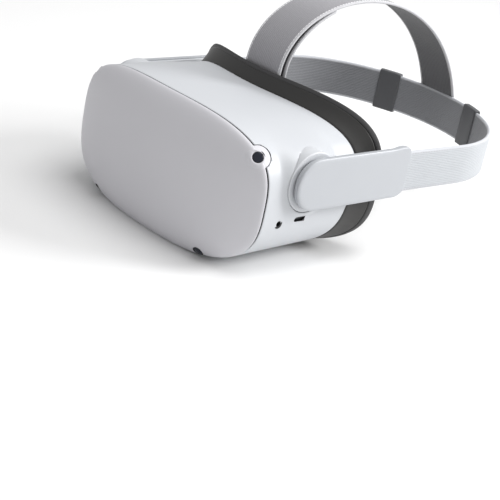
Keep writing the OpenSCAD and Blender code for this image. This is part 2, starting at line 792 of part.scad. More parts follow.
module volume_rocker() color([0.80, 0.80, 0.82]) {
    block([rocker_x - rocker_half_l, rocker_y - rocker_half_w, 0.8],
          [rocker_x + rocker_half_l, rocker_y + rocker_half_w, rocker_top]);
    rod_y([rocker_x, rocker_y - rocker_half_w, rocker_top], 1, 2 * rocker_half_w);
}

module usb_socket() color([0.70, 0.70, 0.72]) {
    difference() {
        block([usb_x - usb_depth - 1, usb_y - usb_w / 2 - usb_wall, usb_z - usb_h / 2 - usb_wall],
              [usb_x, usb_y + usb_w / 2 + usb_wall, usb_z + usb_h / 2 + usb_wall]);
        block([usb_x - usb_depth, usb_y - usb_w / 2, usb_z - usb_h / 2],
              [usb_x + 1, usb_y + usb_w / 2, usb_z + usb_h / 2]);
    }
    block([usb_x - usb_depth, usb_y - 3.3, usb_z - 0.35], [usb_x - 0.8, usb_y + 3.3, usb_z + 0.35]);
}

module audio_socket() color([0.10, 0.10, 0.11]) difference() {
    rod_x([audio_x - audio_depth - 1, audio_y, audio_z], audio_body_r, audio_depth + 1);
    rod_x([audio_x - audio_depth, audio_y, audio_z], audio_r, audio_depth + 1);
}

front_cover();
main_shell();
back_bezel();
strap_bar();
mid_frame();
frame_screws();
mainboard();
processor_shield();
heat_sink();
fan_housing();
fan_rotor();
battery();
optics_bracket();
display_panel();
lens_barrel_left();
lens_barrel_right();
lens_left();
lens_right();
lens_rail_upper();
lens_rail_lower();
spacing_gear();
lens_surround();
proximity_window();
camera_upper_left();
camera_upper_right();
camera_lower_left();
camera_lower_right();
camera_lens_upper_left();
camera_lens_upper_right();
camera_lens_lower_left();
camera_lens_lower_right();
pivot_hub_left();
pivot_hub_right();
pivot_pin_left();
pivot_pin_right();
pivot_washer_left();
pivot_washer_right();
arm_cover_left();
arm_cover_right();
arm_plate_left();
arm_plate_right();
speaker_left();
speaker_right();
strap_clip_left();
strap_clip_right();
side_strap();
strap_slider_left();
strap_slider_right();
top_strap();
top_strap_fold();
strap_patch();
face_frame();
foam_cushion();
nose_flap();
power_button();
status_light();
volume_rocker();
usb_socket();
audio_socket();
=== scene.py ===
# %% [markdown]
# # A standalone virtual reality headset
# A domed visor with a dark bezel, two side arms on pivots, an elastic strap round the head and another
# over the top. The CAD frame gives every place and every moving body. This script gives the looks: smooth
# shells, woven straps, foam, lenses and their finishes.

# %% Start from the CAD frame
import bpy
import bmesh
import math
import numpy as np
from mathutils import Matrix, Vector
from mathutils.bvhtree import BVHTree


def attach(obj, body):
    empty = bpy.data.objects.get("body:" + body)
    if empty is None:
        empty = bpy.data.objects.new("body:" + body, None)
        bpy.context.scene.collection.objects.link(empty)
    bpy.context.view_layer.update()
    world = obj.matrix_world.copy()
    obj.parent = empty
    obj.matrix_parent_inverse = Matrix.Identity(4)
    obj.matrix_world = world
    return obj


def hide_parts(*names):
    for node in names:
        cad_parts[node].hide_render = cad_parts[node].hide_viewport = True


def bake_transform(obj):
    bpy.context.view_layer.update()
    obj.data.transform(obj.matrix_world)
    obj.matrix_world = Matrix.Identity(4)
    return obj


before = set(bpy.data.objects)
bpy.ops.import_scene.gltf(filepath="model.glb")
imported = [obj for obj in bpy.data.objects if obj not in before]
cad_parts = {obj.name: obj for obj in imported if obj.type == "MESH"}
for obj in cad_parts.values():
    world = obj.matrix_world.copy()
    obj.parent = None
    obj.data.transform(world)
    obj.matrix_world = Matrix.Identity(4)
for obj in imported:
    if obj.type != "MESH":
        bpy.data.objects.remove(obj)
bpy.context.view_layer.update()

# %% [markdown]
# ## Sizes
# The shells repeat the CAD's formulas, so a few driving sizes are enough. Everything is in metres, so
# sizes that read best in millimetres are multiplied by MM. A bow is how far a ring's sides lie behind its
# middle, and a power is the superellipse's: 2 is an ellipse, and more gives fuller corners.

# %% Driving sizes
MM = 0.001
VISOR_H = 93.4 * MM
MID_Z = VISOR_H / 2
SEAM_Y = -128 * MM
SEAM_BOW = 9.3 * MM
SEAM_POWER = 3.07
COVER_HALF_W = 90 * MM
SHELL_DEPTH = 64 * MM
WALL = 2.2 * MM
RIM_HALF_W = 85 * MM
RIM_BOW = 27 * MM
RIM_POWER = 3.2
RIM_TILT = 0.13
RIM_DROP = 0.5 * MM
RIDGE_H = 103.7 * MM
RIDGE_HALF_W = 87.8 * MM
RIDGE_Y = SEAM_Y + 77.2 * MM
RIDGE_BOW = 35.65 * MM
RIDGE_POWER = 3.38
RIDGE_TILT = -0.07
PIVOT = Vector((0, -82 * MM, 61.3 * MM))
STRAP_H = 28 * MM
STRAP_Z = 61.3 * MM
BASE_CUT = 0.9 * MM
BAR = Vector((0, -47.5, 95)) * MM
print("visor, mm:", round(2 * COVER_HALF_W / MM, 1), "wide and", round(VISOR_H / MM, 1), "high")

# %% [markdown]
# ## The camera
# It stands to the left of the visor's front, a little above it, and rolls to one side. It could be aimed
# with a constraint, but three directions worked out from a turn, a lift and a roll make one plain matrix,
# which nothing can change later. The last two sizes move it aside and down without turning it, which
# frames the object.

# %% Camera
AIM = Vector((0, SEAM_Y, MID_Z))
CAMERA_TURN = math.radians(42.87)
CAMERA_LIFT = math.radians(22.72)
CAMERA_ROLL = math.radians(11.78)
CAMERA_DISTANCE = 872.5 * MM
CAMERA_ASIDE = 57.9 * MM
CAMERA_BELOW = 58.35 * MM

back = Vector((math.sin(CAMERA_TURN) * math.cos(CAMERA_LIFT),
               -math.cos(CAMERA_TURN) * math.cos(CAMERA_LIFT),
               math.sin(CAMERA_LIFT)))
level = (-back).cross(Vector((0, 0, 1))).normalized()
upward = level.cross(-back)
right = level * math.cos(CAMERA_ROLL) + upward * math.sin(CAMERA_ROLL)
top = upward * math.cos(CAMERA_ROLL) - level * math.sin(CAMERA_ROLL)

camera_data = bpy.data.cameras.new("camera")
camera_data.lens = 99.08
camera_data.sensor_width = 36
camera_data.clip_end = 50
camera = bpy.data.objects.new("camera", camera_data)
bpy.context.scene.collection.objects.link(camera)
place = AIM + back * CAMERA_DISTANCE + right * CAMERA_ASIDE - top * CAMERA_BELOW
camera.matrix_world = Matrix.Translation(place) @ Matrix((right, top, back)).transposed().to_4x4()
bpy.context.scene.camera = camera
print("camera at", [round(v, 3) for v in place])

# %% [markdown]
# ## Floor and light
# A pale floor and a pale world, with large soft lamps, are the plain studio that a matte white casing
# needs: its shape then shows in slow gradients and not in hard shadows.

# %% Studio
def plain_material(name, colour, roughness):
    material = bpy.data.materials.new(name)
    material.use_nodes = True
    shader = material.node_tree.nodes["Principled BSDF"]
    shader.inputs["Base Color"].default_value = (*colour, 1)
    shader.inputs["Roughness"].default_value = roughness
    return material


def area_lamp(name, place, size, watts):
    """Round lamp that points at the visor."""
    data = bpy.data.lights.new(name, "AREA")
    data.shape = "DISK"
    data.size = size
    data.energy = watts
    lamp = bpy.data.objects.new(name, data)
    lamp.location = place
    lamp.rotation_euler = (Vector(place) - LAMP_TARGET).to_track_quat("Z", "Y").to_euler()
    bpy.context.scene.collection.objects.link(lamp)
    print("lamp", name, watts, "W")


LAMP_TARGET = Vector((0, -0.05, 0.05))
area_lamp("overhead", (0.25, 0.15, 1.3), 1.0, 10.5)
area_lamp("side", (1.0, 1.2, 0.9), 0.8, 29)
area_lamp("front_fill", (-0.9, -1.2, 0.5), 1.2, 0.5)

bpy.ops.mesh.primitive_plane_add(size=12, location=(0, 0, 0))
floor = bpy.context.object
floor.name = "floor"
floor.data.materials.append(plain_material("floor_paper", (0.84, 0.84, 0.84), 0.9))

world = bpy.data.worlds.new("studio")
world.use_nodes = True
world.node_tree.nodes["Background"].inputs["Color"].default_value = (1.0, 1.0, 1.0, 1)
world.node_tree.nodes["Background"].inputs["Strength"].default_value = 0.5
bpy.context.scene.world = world
bpy.context.scene.view_settings.view_transform = "Standard"

# %% [markdown]
# ## A small language for finishes
# Nodes could be placed and linked one by one, but shader maths reads best as plain expressions. The class
# Value wraps a socket, and each operator adds one Math node. Finish holds a material's node tree: its
# method `node` makes any node, sets its settings first and then its inputs.

# %% Shader helpers
class Value:
    """A number that varies over a surface, from one node's output socket."""

    def __init__(self, finish, socket):
        self.finish, self.socket = finish, socket

    def _math(self, operation, *values):
        sockets = {i: v for i, v in enumerate(values)}
        return self.finish.node("Math", {"operation": operation}, sockets, out=0)

    def __add__(self, other):
        return self._math("ADD", self, other)

    def __radd__(self, other):
        return self._math("ADD", other, self)

    def __sub__(self, other):
        return self._math("SUBTRACT", self, other)

    def __rsub__(self, other):
        return self._math("SUBTRACT", other, self)

    def __mul__(self, other):
        return self._math("MULTIPLY", self, other)

    def __rmul__(self, other):
        return self._math("MULTIPLY", other, self)

    def sine(self):
        return self._math("SINE", self)

    def size(self):
        return self._math("ABSOLUTE", self)

    def smooth(self, low, high):
        """Smooth step from 0 at low to 1 at high."""
        inputs = {"Value": self, "From Min": low, "From Max": high}
        return self.finish.node("MapRange", {"interpolation_type": "SMOOTHSTEP"}, inputs, out=0)


class Finish:
    """One material's node tree, with its Principled shader."""

    def __init__(self, name, roughness=0.5, metallic=0.0, **fixed):
        self.material = bpy.data.materials.new(name)
        self.material.use_nodes = True
        self.tree = self.material.node_tree
        self.shader = self.tree.nodes["Principled BSDF"]
        self.shader.inputs["Roughness"].default_value = roughness
        self.shader.inputs["Metallic"].default_value = metallic
        for socket, value in fixed.items():
            self.shader.inputs[socket.replace("_", " ")].default_value = value

    def node(self, kind, settings=None, inputs=None, out=None):
        node = self.tree.nodes.new("ShaderNode" + kind)
        for name, value in (settings or {}).items():
            setattr(node, name, value)
        for name, value in (inputs or {}).items():
            self._feed(node.inputs[name], value)
        return Value(self, node.outputs[out]) if out is not None else node

    def _feed(self, socket, value):
        if isinstance(value, Value):
            self.tree.links.new(value.socket, socket)
        elif socket.type == "RGBA":
            socket.default_value = (*value, 1)
        else:
            socket.default_value = value

    def feed(self, socket, value):
        self._feed(self.shader.inputs[socket], value)

    def place(self, kind="Object"):
        return self.node("TexCoord", out=kind)

    def noise(self, scale, detail=2.0, at=None):
        inputs = {"Vector": at or self.place(), "Scale": scale, "Detail": detail}
        return self.node("TexNoise", None, inputs, out="Fac")

    def blend(self, low, high, share):
        """Colour between two colours. A Mix node's inputs 6 and 7 and its output 2 are its colours."""
        inputs = {"Factor": share, 6: low, 7: high}
        return self.node("Mix", {"data_type": "RGBA"}, inputs, out=2)

    def bump(self, height, strength, distance):
        inputs = {"Height": height, "Strength": strength, "Distance": distance}
        self.feed("Normal", self.node("Bump", None, inputs, out="Normal"))


# %% [markdown]
# ## Finishes
# Moulded plastic isn't one colour: its tone drifts slowly, its gloss changes a little from place to
# place, and the mould leaves a fine spark-eroded grain. The grain could be real bumps in the mesh, but at
# half a millimetre a bump in the shader costs no faces. One function makes every plastic, with the
# amounts as its inputs.

# %% Moulded plastics
TONE_DRIFT = 0.03
GRAIN_SIZE = 0.45 * MM


def moulded(name, colour, roughness, grain=0.25, **fixed):
    finish = Finish(name, roughness, **fixed)
    slow = finish.noise(18, 3)
    fine = finish.noise(1 / GRAIN_SIZE, 2)
    dark = tuple(c * (1 - TONE_DRIFT) for c in colour)
    light = tuple(min(1, c * (1 + TONE_DRIFT)) for c in colour)
    finish.feed("Base Color", finish.blend(dark, light, slow * 0.7 + fine * 0.3))
    finish.feed("Roughness", roughness - 0.05 + slow * 0.06 + fine * 0.05)
    finish.bump(fine, grain, 0.06 * MM)
    return finish.material


# The front plate and the camera lobes are the same white plastic as the shell; this copy is set lighter, as
# painted light for the weakly lit front.
COVER_WHITE_PAINTED_LIGHT = moulded("cover_satin_white_painted_light", (0.575, 0.57, 0.60), 0.46)
SHELL_WHITE = moulded("shell_satin_white", (0.53, 0.545, 0.57), 0.42)
# The arms are the same white plastic as the shell; this copy is set darker, as painted shade on the arms.
ARM_WHITE_PAINTED_SHADE = moulded("arm_satin_white_painted_shade", (0.435, 0.45, 0.475), 0.40)
COLLAR_WHITE = moulded("collar_white", (0.59, 0.605, 0.63), 0.45)
BEZEL_BLACK = moulded("bezel_charcoal", (0.042, 0.041, 0.040), 0.42, 0.35, Specular_IOR_Level=0.3)
# Lighter grey for the ridge lip than the flange's charcoal: a painted highlight for the lip's lit top.
LIP_PAINTED_HIGHLIGHT = moulded("ridge_lip_painted_highlight", (0.055, 0.054, 0.055), 0.55, 0.35, Specular_IOR_Level=0.35)
# Black of the inner parts; also laid on the casing's and the plate's faces inside the seam groove as painted
# shade.
INNER_BLACK_AND_SHADE = moulded("inner_black_and_painted_shade", (0.014, 0.014, 0.016), 0.6, grain=0.5)
NYLON = moulded("natural_nylon", (0.72, 0.70, 0.62), 0.35)
BOARD_GREEN = moulded("solder_mask_green", (0.015, 0.09, 0.04), 0.3)
BATTERY_FILM = moulded("battery_film", (0.05, 0.06, 0.08), 0.35)
SLIDER_DARK = moulded("slider_dark", (0.09, 0.092, 0.098), 0.5)
CAMERA_BLACK = moulded("camera_tube_black", (0.012, 0.012, 0.014), 0.3, grain=0.1)
RUBBER_BLACK = moulded("rubber_black", (0.022, 0.022, 0.023), 0.75, grain=0.6)
print("finishes so far:", len(bpy.data.materials))

# %% [markdown]
# Metals are brushed: noise stretched along one direction makes the fine lines. They hardly change the
# metal's colour, so most of their work is in the roughness and the bump. The cameras and the display are
# dark glass with a clear coat, and slow noise in the roughness is the faint smear that every handled lens
# has.

# %% Metals and glass
def brushed(name, colour, roughness, stretch=(1, 40, 40)):
    finish = Finish(name, roughness, 1.0)
    at = finish.node("Mapping", None, {"Vector": finish.place(), "Scale": stretch}, out=0)
    lines = finish.noise(60, 3, at)
    finish.feed("Base Color", finish.blend(tuple(c * 0.94 for c in colour), colour, lines))
    finish.feed("Roughness", roughness - 0.06 + lines * 0.14)
    finish.bump(lines, 0.15, 0.02 * MM)
    return finish.material


def dark_glass(name, colour):
    finish = Finish(name, Coat_Weight=0.25, Coat_Roughness=0.02, Specular_IOR_Level=0.35)
    smear = finish.noise(140, 3)
    finish.feed("Base Color", finish.blend(colour, tuple(c * 1.6 for c in colour), smear))
    finish.feed("Roughness", 0.04 + smear * 0.05)
    return finish.material


STEEL = brushed("brushed_steel", (0.56, 0.56, 0.58), 0.32)
CAST_METAL = brushed("cast_aluminium", (0.50, 0.51, 0.53), 0.45, (6, 6, 6))
CAMERA_GLASS = dark_glass("camera_lens_coating", (0.010, 0.012, 0.020))
DISPLAY_GLASS = dark_glass("display_glass", (0.008, 0.009, 0.014))

# %% [markdown]
# ## Parts that keep their CAD shape
# Boards, rails, pins and other inner parts are simple shapes, and their CAD meshes are already right.
# Making them again would add nothing, so each one only takes a finish in place of its flat CAD colour.

# %% Plain CAD nodes take their finishes
CAD_FINISH = {
    "strap_bar": STEEL, "mid_frame": CAST_METAL, "frame_screws": STEEL, "mainboard": BOARD_GREEN,
    "processor_shield": STEEL, "heat_sink": CAST_METAL, "fan_housing": INNER_BLACK_AND_SHADE,
    "fan_rotor": INNER_BLACK_AND_SHADE, "battery": BATTERY_FILM, "optics_bracket": INNER_BLACK_AND_SHADE,
    "display_panel": DISPLAY_GLASS, "lens_rail_upper": STEEL, "lens_rail_lower": STEEL,
    "spacing_gear": NYLON, "proximity_window": CAMERA_GLASS, "lens_surround": INNER_BLACK_AND_SHADE,
    "nose_flap": RUBBER_BLACK, "usb_socket": INNER_BLACK_AND_SHADE, "audio_socket": INNER_BLACK_AND_SHADE,
    "status_light": NYLON, "power_button": SHELL_WHITE, "volume_rocker": SHELL_WHITE,
    "strap_patch": RUBBER_BLACK,
}
TWIN_FINISH = {
    "lens_barrel": INNER_BLACK_AND_SHADE, "lens": DISPLAY_GLASS, "pivot_pin": STEEL, "pivot_washer": STEEL,
    "speaker": INNER_BLACK_AND_SHADE, "strap_clip": INNER_BLACK_AND_SHADE, "strap_slider": SLIDER_DARK,
    "arm_plate": COLLAR_WHITE, "camera_upper": CAMERA_BLACK, "camera_lower": CAMERA_BLACK,
    "camera_lens_upper": CAMERA_GLASS, "camera_lens_lower": CAMERA_GLASS,
}
for name, material in TWIN_FINISH.items():
    CAD_FINISH[name + "_left"] = CAD_FINISH[name + "_right"] = material


for node, material in CAD_FINISH.items():
    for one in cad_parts[node].material_slots:
        one.material = material
print("CAD nodes with a finish:", len(CAD_FINISH))

# %% [markdown]
# ## Outlines
# The visor's outline is a superellipse: an ellipse with fuller corners. A spline could follow it, but the
# CAD uses the formula, so the same formula gives the same sizes. It bunches points near the corners, so
# the angles are first spaced by the length of the outline, and every ring then uses the same angles.

# %% Rings and lofts
def outline(angles, a, b, n):
    c, s = np.cos(angles), np.sin(angles)
    x = a * np.sign(c) * np.abs(c) ** (2 / n)
    z = b * np.sign(s) * np.abs(s) ** (2 / n)
    return x, z


def even_angles(count, a, b, n):
    dense = np.linspace(0, 2 * math.pi, 24001)
    x, z = outline(dense, a, b, n)
    run = np.concatenate([[0], np.cumsum(np.hypot(np.diff(x), np.diff(z)))])
    wanted = (np.arange(count) + 0.5) / count * run[-1]
    return np.interp(wanted, run, dense)


ANGLES = even_angles(288, COVER_HALF_W, MID_Z, 3.1)
print("points in a ring:", len(ANGLES))


def ring(a, b, n, y, bow=0.0, tilt=0.0, zc=MID_Z, base=0.0):
    """Ring of points, bowed back at its sides, tilted with height and cut flat at height base."""
    x, z = outline(ANGLES, a, b, n)
    low = np.where(z < 0, z * (b + BASE_CUT) / b, z)
    return np.stack([x, y + bow * (x / a) ** 2 + tilt * z, np.maximum(zc + low, base)], 1)


def mix(p, q, share):
    return p + (q - p) * share


def shell_ring(share, inset=0.0):
    """Ring of the casing: share 0 is the seam and share 1 the back rim."""
    return ring(mix(COVER_HALF_W, RIM_HALF_W, share) - inset, MID_Z - RIM_DROP * share - inset,
                mix(SEAM_POWER, RIM_POWER, share), SEAM_Y + SHELL_DEPTH * share,
                mix(SEAM_BOW, RIM_BOW, share), RIM_TILT * share, MID_Z - RIM_DROP * share, inset)


def ridge_ring(inset=0.0):
    """Ring of the bezel's ridge, drawn in by inset."""
    return ring(RIDGE_HALF_W - inset, RIDGE_H / 2 - inset, RIDGE_POWER, RIDGE_Y, RIDGE_BOW, RIDGE_TILT,
                RIDGE_H / 2, inset)


# %% [markdown]
# ## Skins
# Nearly every shell here is a skin over rows of points. A subdivision surface over a rough cage would be
# the other way, but it shrinks at its corners, and rows of exact points keep the CAD's sizes. The skin
# also gets a UV map in metres, so that a weave or a rib has its real size wherever the surface goes.

# %% Skin
def skin(name, rows, materials, wrap_rows=False, ends=(False, False), zone=None, across=None):
    """Mesh over closed rows of points. An end closes on its row's middle (True) or on a given point.

    zone(row, column) gives a face's material, and across gives the map's distances across a strap.
    """
    rows = [np.asarray(r, float) for r in rows]
    count, deep = len(rows[0]), len(rows)
    around = np.linalg.norm(np.roll(rows[deep // 2], -1, 0) - rows[deep // 2], axis=1)
    u = np.concatenate([[0], np.cumsum(around)]) if across is None else np.append(across, across[0])
    steps = [np.linalg.norm((rows[(k + 1) % deep] - rows[k]).mean(0)) for k in range(deep)]
    v = np.concatenate([[0], np.cumsum(steps)])
    form = bmesh.new()
    points = [[form.verts.new(p) for p in row] for row in rows]
    chart = form.loops.layers.uv.new("surface")
    for k in range(deep if wrap_rows else deep - 1):
        for i in range(count):
            j, n = (i + 1) % count, (k + 1) % deep
            face = form.faces.new((points[k][i], points[k][j], points[n][j], points[n][i]))
            face.material_index = zone(k, i) if zone else 0
            face.smooth = True
            for loop, spot in zip(face.loops, ((i, k), (i + 1, k), (i + 1, k + 1), (i, k + 1))):
                loop[chart].uv = (u[spot[0]], v[spot[1]])
    for end, k in zip(ends, (0, deep - 1)):
        if end:
            tip = form.verts.new(rows[k].mean(0) if end is True else end)
            for i in range(count):
                face = form.faces.new((points[k][i], points[k][(i + 1) % count], tip))
                face.material_index = zone(k, i) if zone else 0
                face.smooth = True
                for loop, spot in zip(face.loops, (u[i], u[i + 1], u[i])):
                    loop[chart].uv = (spot, v[k])
    bmesh.ops.remove_doubles(form, verts=form.verts, dist=1e-7)
    bmesh.ops.dissolve_degenerate(form, edges=form.edges, dist=1e-8)
    bmesh.ops.recalc_face_normals(form, faces=form.faces)
    mesh = bpy.data.meshes.new(name)
    form.to_mesh(mesh)
    form.free()
    piece = bpy.data.objects.new(name, mesh)
    bpy.context.scene.collection.objects.link(piece)
    for material in (materials if isinstance(materials, (list, tuple)) else [materials]):
        mesh.materials.append(material)
    return piece


def settle(piece, body, slot, *nodes):
    """Puts a finished piece on its body, and hides the CAD nodes it stands for. The slot is not used."""
    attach(piece, body)
    if nodes:
        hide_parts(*nodes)
    print(piece.name, "faces:", len(piece.data.polygons), "on", body)
    return piece


def turned_about_x(profile, centre, steps, flip=1):
    """Rows of a turned part about a line along X: profile is a list of (x, radius)."""
    turns = np.arange(steps) / steps * 2 * math.pi
    return [np.stack([np.full(steps, flip * x), centre[1] + r * np.cos(turns),
                      centre[2] + r * np.sin(turns)], 1)
            for x, r in profile]


def arc(centre, radius, start, end, steps=6):
    """Points on an arc in a profile, angles in degrees."""
    turns = np.radians(np.linspace(start, end, steps + 1))
    return [(centre[0] + radius * math.cos(t), centre[1] + radius * math.sin(t)) for t in turns]


# %% [markdown]
# ## The casing
# The casing is one moulded tube with its front edge at the seam and its back edge under the bezel. Its
# side swells into a low mound round each arm pivot. Sculpting could raise the mound, but a smooth maximum
# of the plain side and a rounded hill about the pivot gives the same shape each time, and fades out
# before the seam and the top.

# %% Casing
def eased(value):
    """Smooth step from 0 to 1."""
    value = np.clip(value, 0, 1)
    return value * value * (3 - 2 * value)


MOUND_TOP_R = 20.4 * MM
MOUND_LIMIT = 89.9 * MM
MOUND_SOFT = 6 * MM
FADE_SIDE, FADE_SIDE_RUN = 50 * MM, 28 * MM
FADE_SEAM, FADE_SEAM_RUN = -119 * MM, 15 * MM
FADE_TOP, FADE_TOP_RUN = 91 * MM, 23 * MM


def swell(points):
    """Raises the casing's side into a low mound round each pivot, and leaves the seam and the top alone."""
    out = points.copy()
    side = np.abs(out[:, 0])
    away = np.maximum(np.hypot(out[:, 1] - PIVOT.y, out[:, 2] - PIVOT.z) - MOUND_TOP_R, 0) / MM
    mound = (89.5 - 0.8 * away - 0.08 * away * away) * MM
    near = np.maximum(MOUND_SOFT - np.abs(side - mound), 0) / MOUND_SOFT
    raised = np.maximum(side, mound) + near * near * MOUND_SOFT / 4
    share = eased((side - FADE_SIDE) / FADE_SIDE_RUN) * eased((out[:, 1] - FADE_SEAM) / FADE_SEAM_RUN)
    share *= eased((FADE_TOP - out[:, 2]) / FADE_TOP_RUN)
    raised = np.minimum(raised, np.maximum(side, MOUND_LIMIT))
    out[:, 0] = np.sign(out[:, 0]) * mix(side, raised, share)
    return out


EDGE = 0.45 * MM
GROOVE = 0.8 * MM
outer = [shell_ring((GROOVE + EDGE * d) / SHELL_DEPTH, EDGE * e) for d, e in ((0.15, 1), (0.4, 0.3), (1, 0))]
outer += [shell_ring(s) for s in np.linspace(0.03, 0.985, 70)]
outer += [shell_ring(0.995, 0.2 * MM), shell_ring(1.0, 0.5 * MM)]
inner = [shell_ring(s, WALL) for s in np.linspace(1.0, 0.0, 14)]
# Most of the inner wall, and the front edge face down in the seam groove, take the black finish: painted
# shade on the white casing.
casing = skin("casing", [swell(r) for r in outer] + inner, [SHELL_WHITE, INNER_BLACK_AND_SHADE], wrap_rows=True,
              zone=lambda k, i: 0 if k < len(outer) + 1 else 1)
print("casing rings:", len(outer) + len(inner))

# %% [markdown]
# The openings in the casing are cut with solid tools, as a moulder's side cores make them: the audio
# socket, the USB slot, the power button, its light, the volume rocker, and the round seats of the upper
# cameras and the pivot collars. Faces could be left out of the skin instead, but a cut gives a true round
# edge anywhere on it.

# %% Cutting tools
CAMERA_UPPER = Vector((77.6, -120.5, 76.5)) * MM
CAMERA_UPPER_SIGHT = Vector((0.62, -0.66, 0.42)).normalized()
CAMERA_LOWER = Vector((51.2, -127.6, 5.7)) * MM
CAMERA_LOWER_SIGHT = Vector((0.3, -0.8, -0.52)).normalized()
LOBE_R = 7.7 * MM
SIDES = ((1, "left"), (-1, "right"))


def mirrored(vector, side):
    return Vector((vector[0] * side, vector[1], vector[2]))


def rod(at, along, radius, low, high, steps=64, longer=None):
    """Closed tool along a line. longer makes it a slot, that much longer along the visor's depth."""
    turn = Vector(along).to_track_quat("Z", "Y").to_matrix()
    turns = np.arange(steps) / steps * 2 * math.pi
    rows = []
    for h in (low, high):
        row = []
        for t in turns:
            spot = Vector((radius * math.cos(t), radius * math.sin(t), h))
            place = turn @ spot
            if longer:
                place = place + Vector((0, math.copysign(longer / 2, place[1]), 0))
            row.append(Vector(at) + place)
        rows.append(row)
    return skin("tool", rows, INNER_BLACK_AND_SHADE, ends=(True, True))


def cut(piece, tools):
    """Cuts the tools out of a piece and throws the tools away."""
    for tool in tools:
        knife = piece.modifiers.new("cut", "BOOLEAN")
        knife.object = tool
        knife.solver = "EXACT"
    bpy.context.view_layer.update()
    result = bpy.data.meshes.new_from_object(piece.evaluated_get(bpy.context.evaluated_depsgraph_get()))
    piece.modifiers.clear()
    piece.data = result
    for tool in tools:
        bpy.data.objects.remove(tool)


def stadium(reach, radius, steps):
    """Outline of a slot with round ends at reach on each side of its middle, in mm."""
    return [(sx * reach + radius * math.cos(t), radius * math.sin(t))
            for sx, start in ((1, -0.5), (-1, 0.5))
            for t in np.linspace(start * math.pi, (start + 1) * math.pi, steps)]


# %% Cutting the openings
AUDIO = Vector((88.6, -102.6, 35.6)) * MM
USB = Vector((87.4, -83.5, 36.2)) * MM
POWER = Vector((-88.9, -98, 34.7)) * MM
LIGHT = Vector((-88.4, -87, 34.7)) * MM
ROCKER = Vector((40, -98, 0)) * MM
plain_casing = BVHTree.FromObject(casing, bpy.context.evaluated_depsgraph_get())
COLLAR_SEAT = Vector((84 * MM, PIVOT.y, PIVOT.z))
COLLAR_SEAT_R = 20.05 * MM
LOBE_SEAT_R = LOBE_R + 0.35 * MM
SOCKET_DEPTH, SOCKET_REACH = -8 * MM, 5 * MM
CAMERA_DEPTH, CAMERA_REACH = -9 * MM, 20 * MM
tools = [rod(AUDIO, (1, 0, 0), 1.95 * MM, SOCKET_DEPTH, SOCKET_REACH),
         rod(USB, (1, 0, 0), 1.8 * MM, SOCKET_DEPTH, SOCKET_REACH, longer=6.0 * MM),
         rod(POWER, (-1, 0, 0), 5.25 * MM, SOCKET_DEPTH, SOCKET_REACH),
         rod(LIGHT, (-1, 0, 0), 1.25 * MM, SOCKET_DEPTH, SOCKET_REACH)]
for s in (1, -1):
    seat, sight = mirrored(CAMERA_UPPER, s), mirrored(CAMERA_UPPER_SIGHT, s)
    tools.append(rod(seat, sight, LOBE_SEAT_R, CAMERA_DEPTH, CAMERA_REACH))
for s in (1, -1):
    tools.append(rod(mirrored(COLLAR_SEAT, s), (s, 0, 0), COLLAR_SEAT_R, 0, 12 * MM, 144))
rocker_rows = [[Vector((u * MM, v * MM, h)) + ROCKER for u, v in stadium(10, 2.8, 17)]
               for h in (-3 * MM, 5 * MM)]
tools.append(skin("tool", rocker_rows, INNER_BLACK_AND_SHADE, ends=(True, True)))
cut(casing, tools)
settle(casing, "visor", "shell_white", "main_shell")

# %% [markdown]
# ## The front plate
# A shallow dome that snaps into the casing. A bevel on a flat plate would give it one edge radius, but
# the real one is nearly flat in the middle and turns ever faster towards its edge. So its rows follow one
# more superellipse, spaced by the angle of the turn, and the tight edge gets as many of them as the flat
# middle.

# %% Front plate
PLATE_Y = SEAM_Y - 0.5 * MM
DOME_RISE = 12 * MM
DOME_POWER = 2.6


def dome_row(turn, inset=0.0):
    """Row of the dome: turn runs from 0 at its middle to a quarter turn at its edge."""
    k = max(math.sin(turn), 0.0) ** (2 / DOME_POWER)
    rise = (DOME_RISE - inset) * math.cos(turn)
    a, b = COVER_HALF_W - inset, MID_Z - inset
    return ring(a * k, b * k, SEAM_POWER, PLATE_Y - rise, SEAM_BOW * k * k, 0, MID_Z, inset)


def seam_row(inset, behind):
    """Row drawn in from the plate's edge and moved behind its front plane, both in mm."""
    d = inset * MM
    return ring(COVER_HALF_W - d, MID_Z - d, SEAM_POWER, PLATE_Y + behind * MM, SEAM_BOW, 0, MID_Z, d)


turns = np.radians(np.concatenate([[2.5, 5], np.linspace(8, 84, 40), [86.5, 88.5, 90]]))
face = [dome_row(t) for t in turns]
PLATE_BACK = [(0.12, 0.16), (0.4, 0.28), (2.4, 0.3), (2.4, 3.3), (4.4, 3.3)]
edge = [seam_row(inset, behind) for inset, behind in PLATE_BACK]
hollow = [dome_row(t, WALL) for t in turns[::-1][3::4]]
front_pole = (0, PLATE_Y - DOME_RISE, MID_Z)
back_pole = (0, PLATE_Y - DOME_RISE + WALL, MID_Z)
# The plate's edge faces behind its front, down in the seam groove, and its hollow back take the black
# finish: painted shade on white plastic.
front_plate = skin("front_plate", face + edge + hollow, [COVER_WHITE_PAINTED_LIGHT, INNER_BLACK_AND_SHADE],
                   ends=(front_pole, back_pole), zone=lambda k, i: 0 if k < len(face) + 1 else 1)
plain_plate = BVHTree.FromObject(front_plate, bpy.context.evaluated_depsgraph_get())
LOWER_HOLE_R = 3.75 * MM
UPPER_HOLE_R = 4.2 * MM
tools = []
for at, sight, radius in ((CAMERA_LOWER, CAMERA_LOWER_SIGHT, LOWER_HOLE_R),
                          (CAMERA_UPPER, CAMERA_UPPER_SIGHT, UPPER_HOLE_R)):
    tools += [rod(mirrored(at, s), mirrored(sight, s), radius, CAMERA_DEPTH, CAMERA_REACH)
              for s in (1, -1)]
cut(front_plate, tools)
settle(front_plate, "visor", "cover_grey", "front_cover")

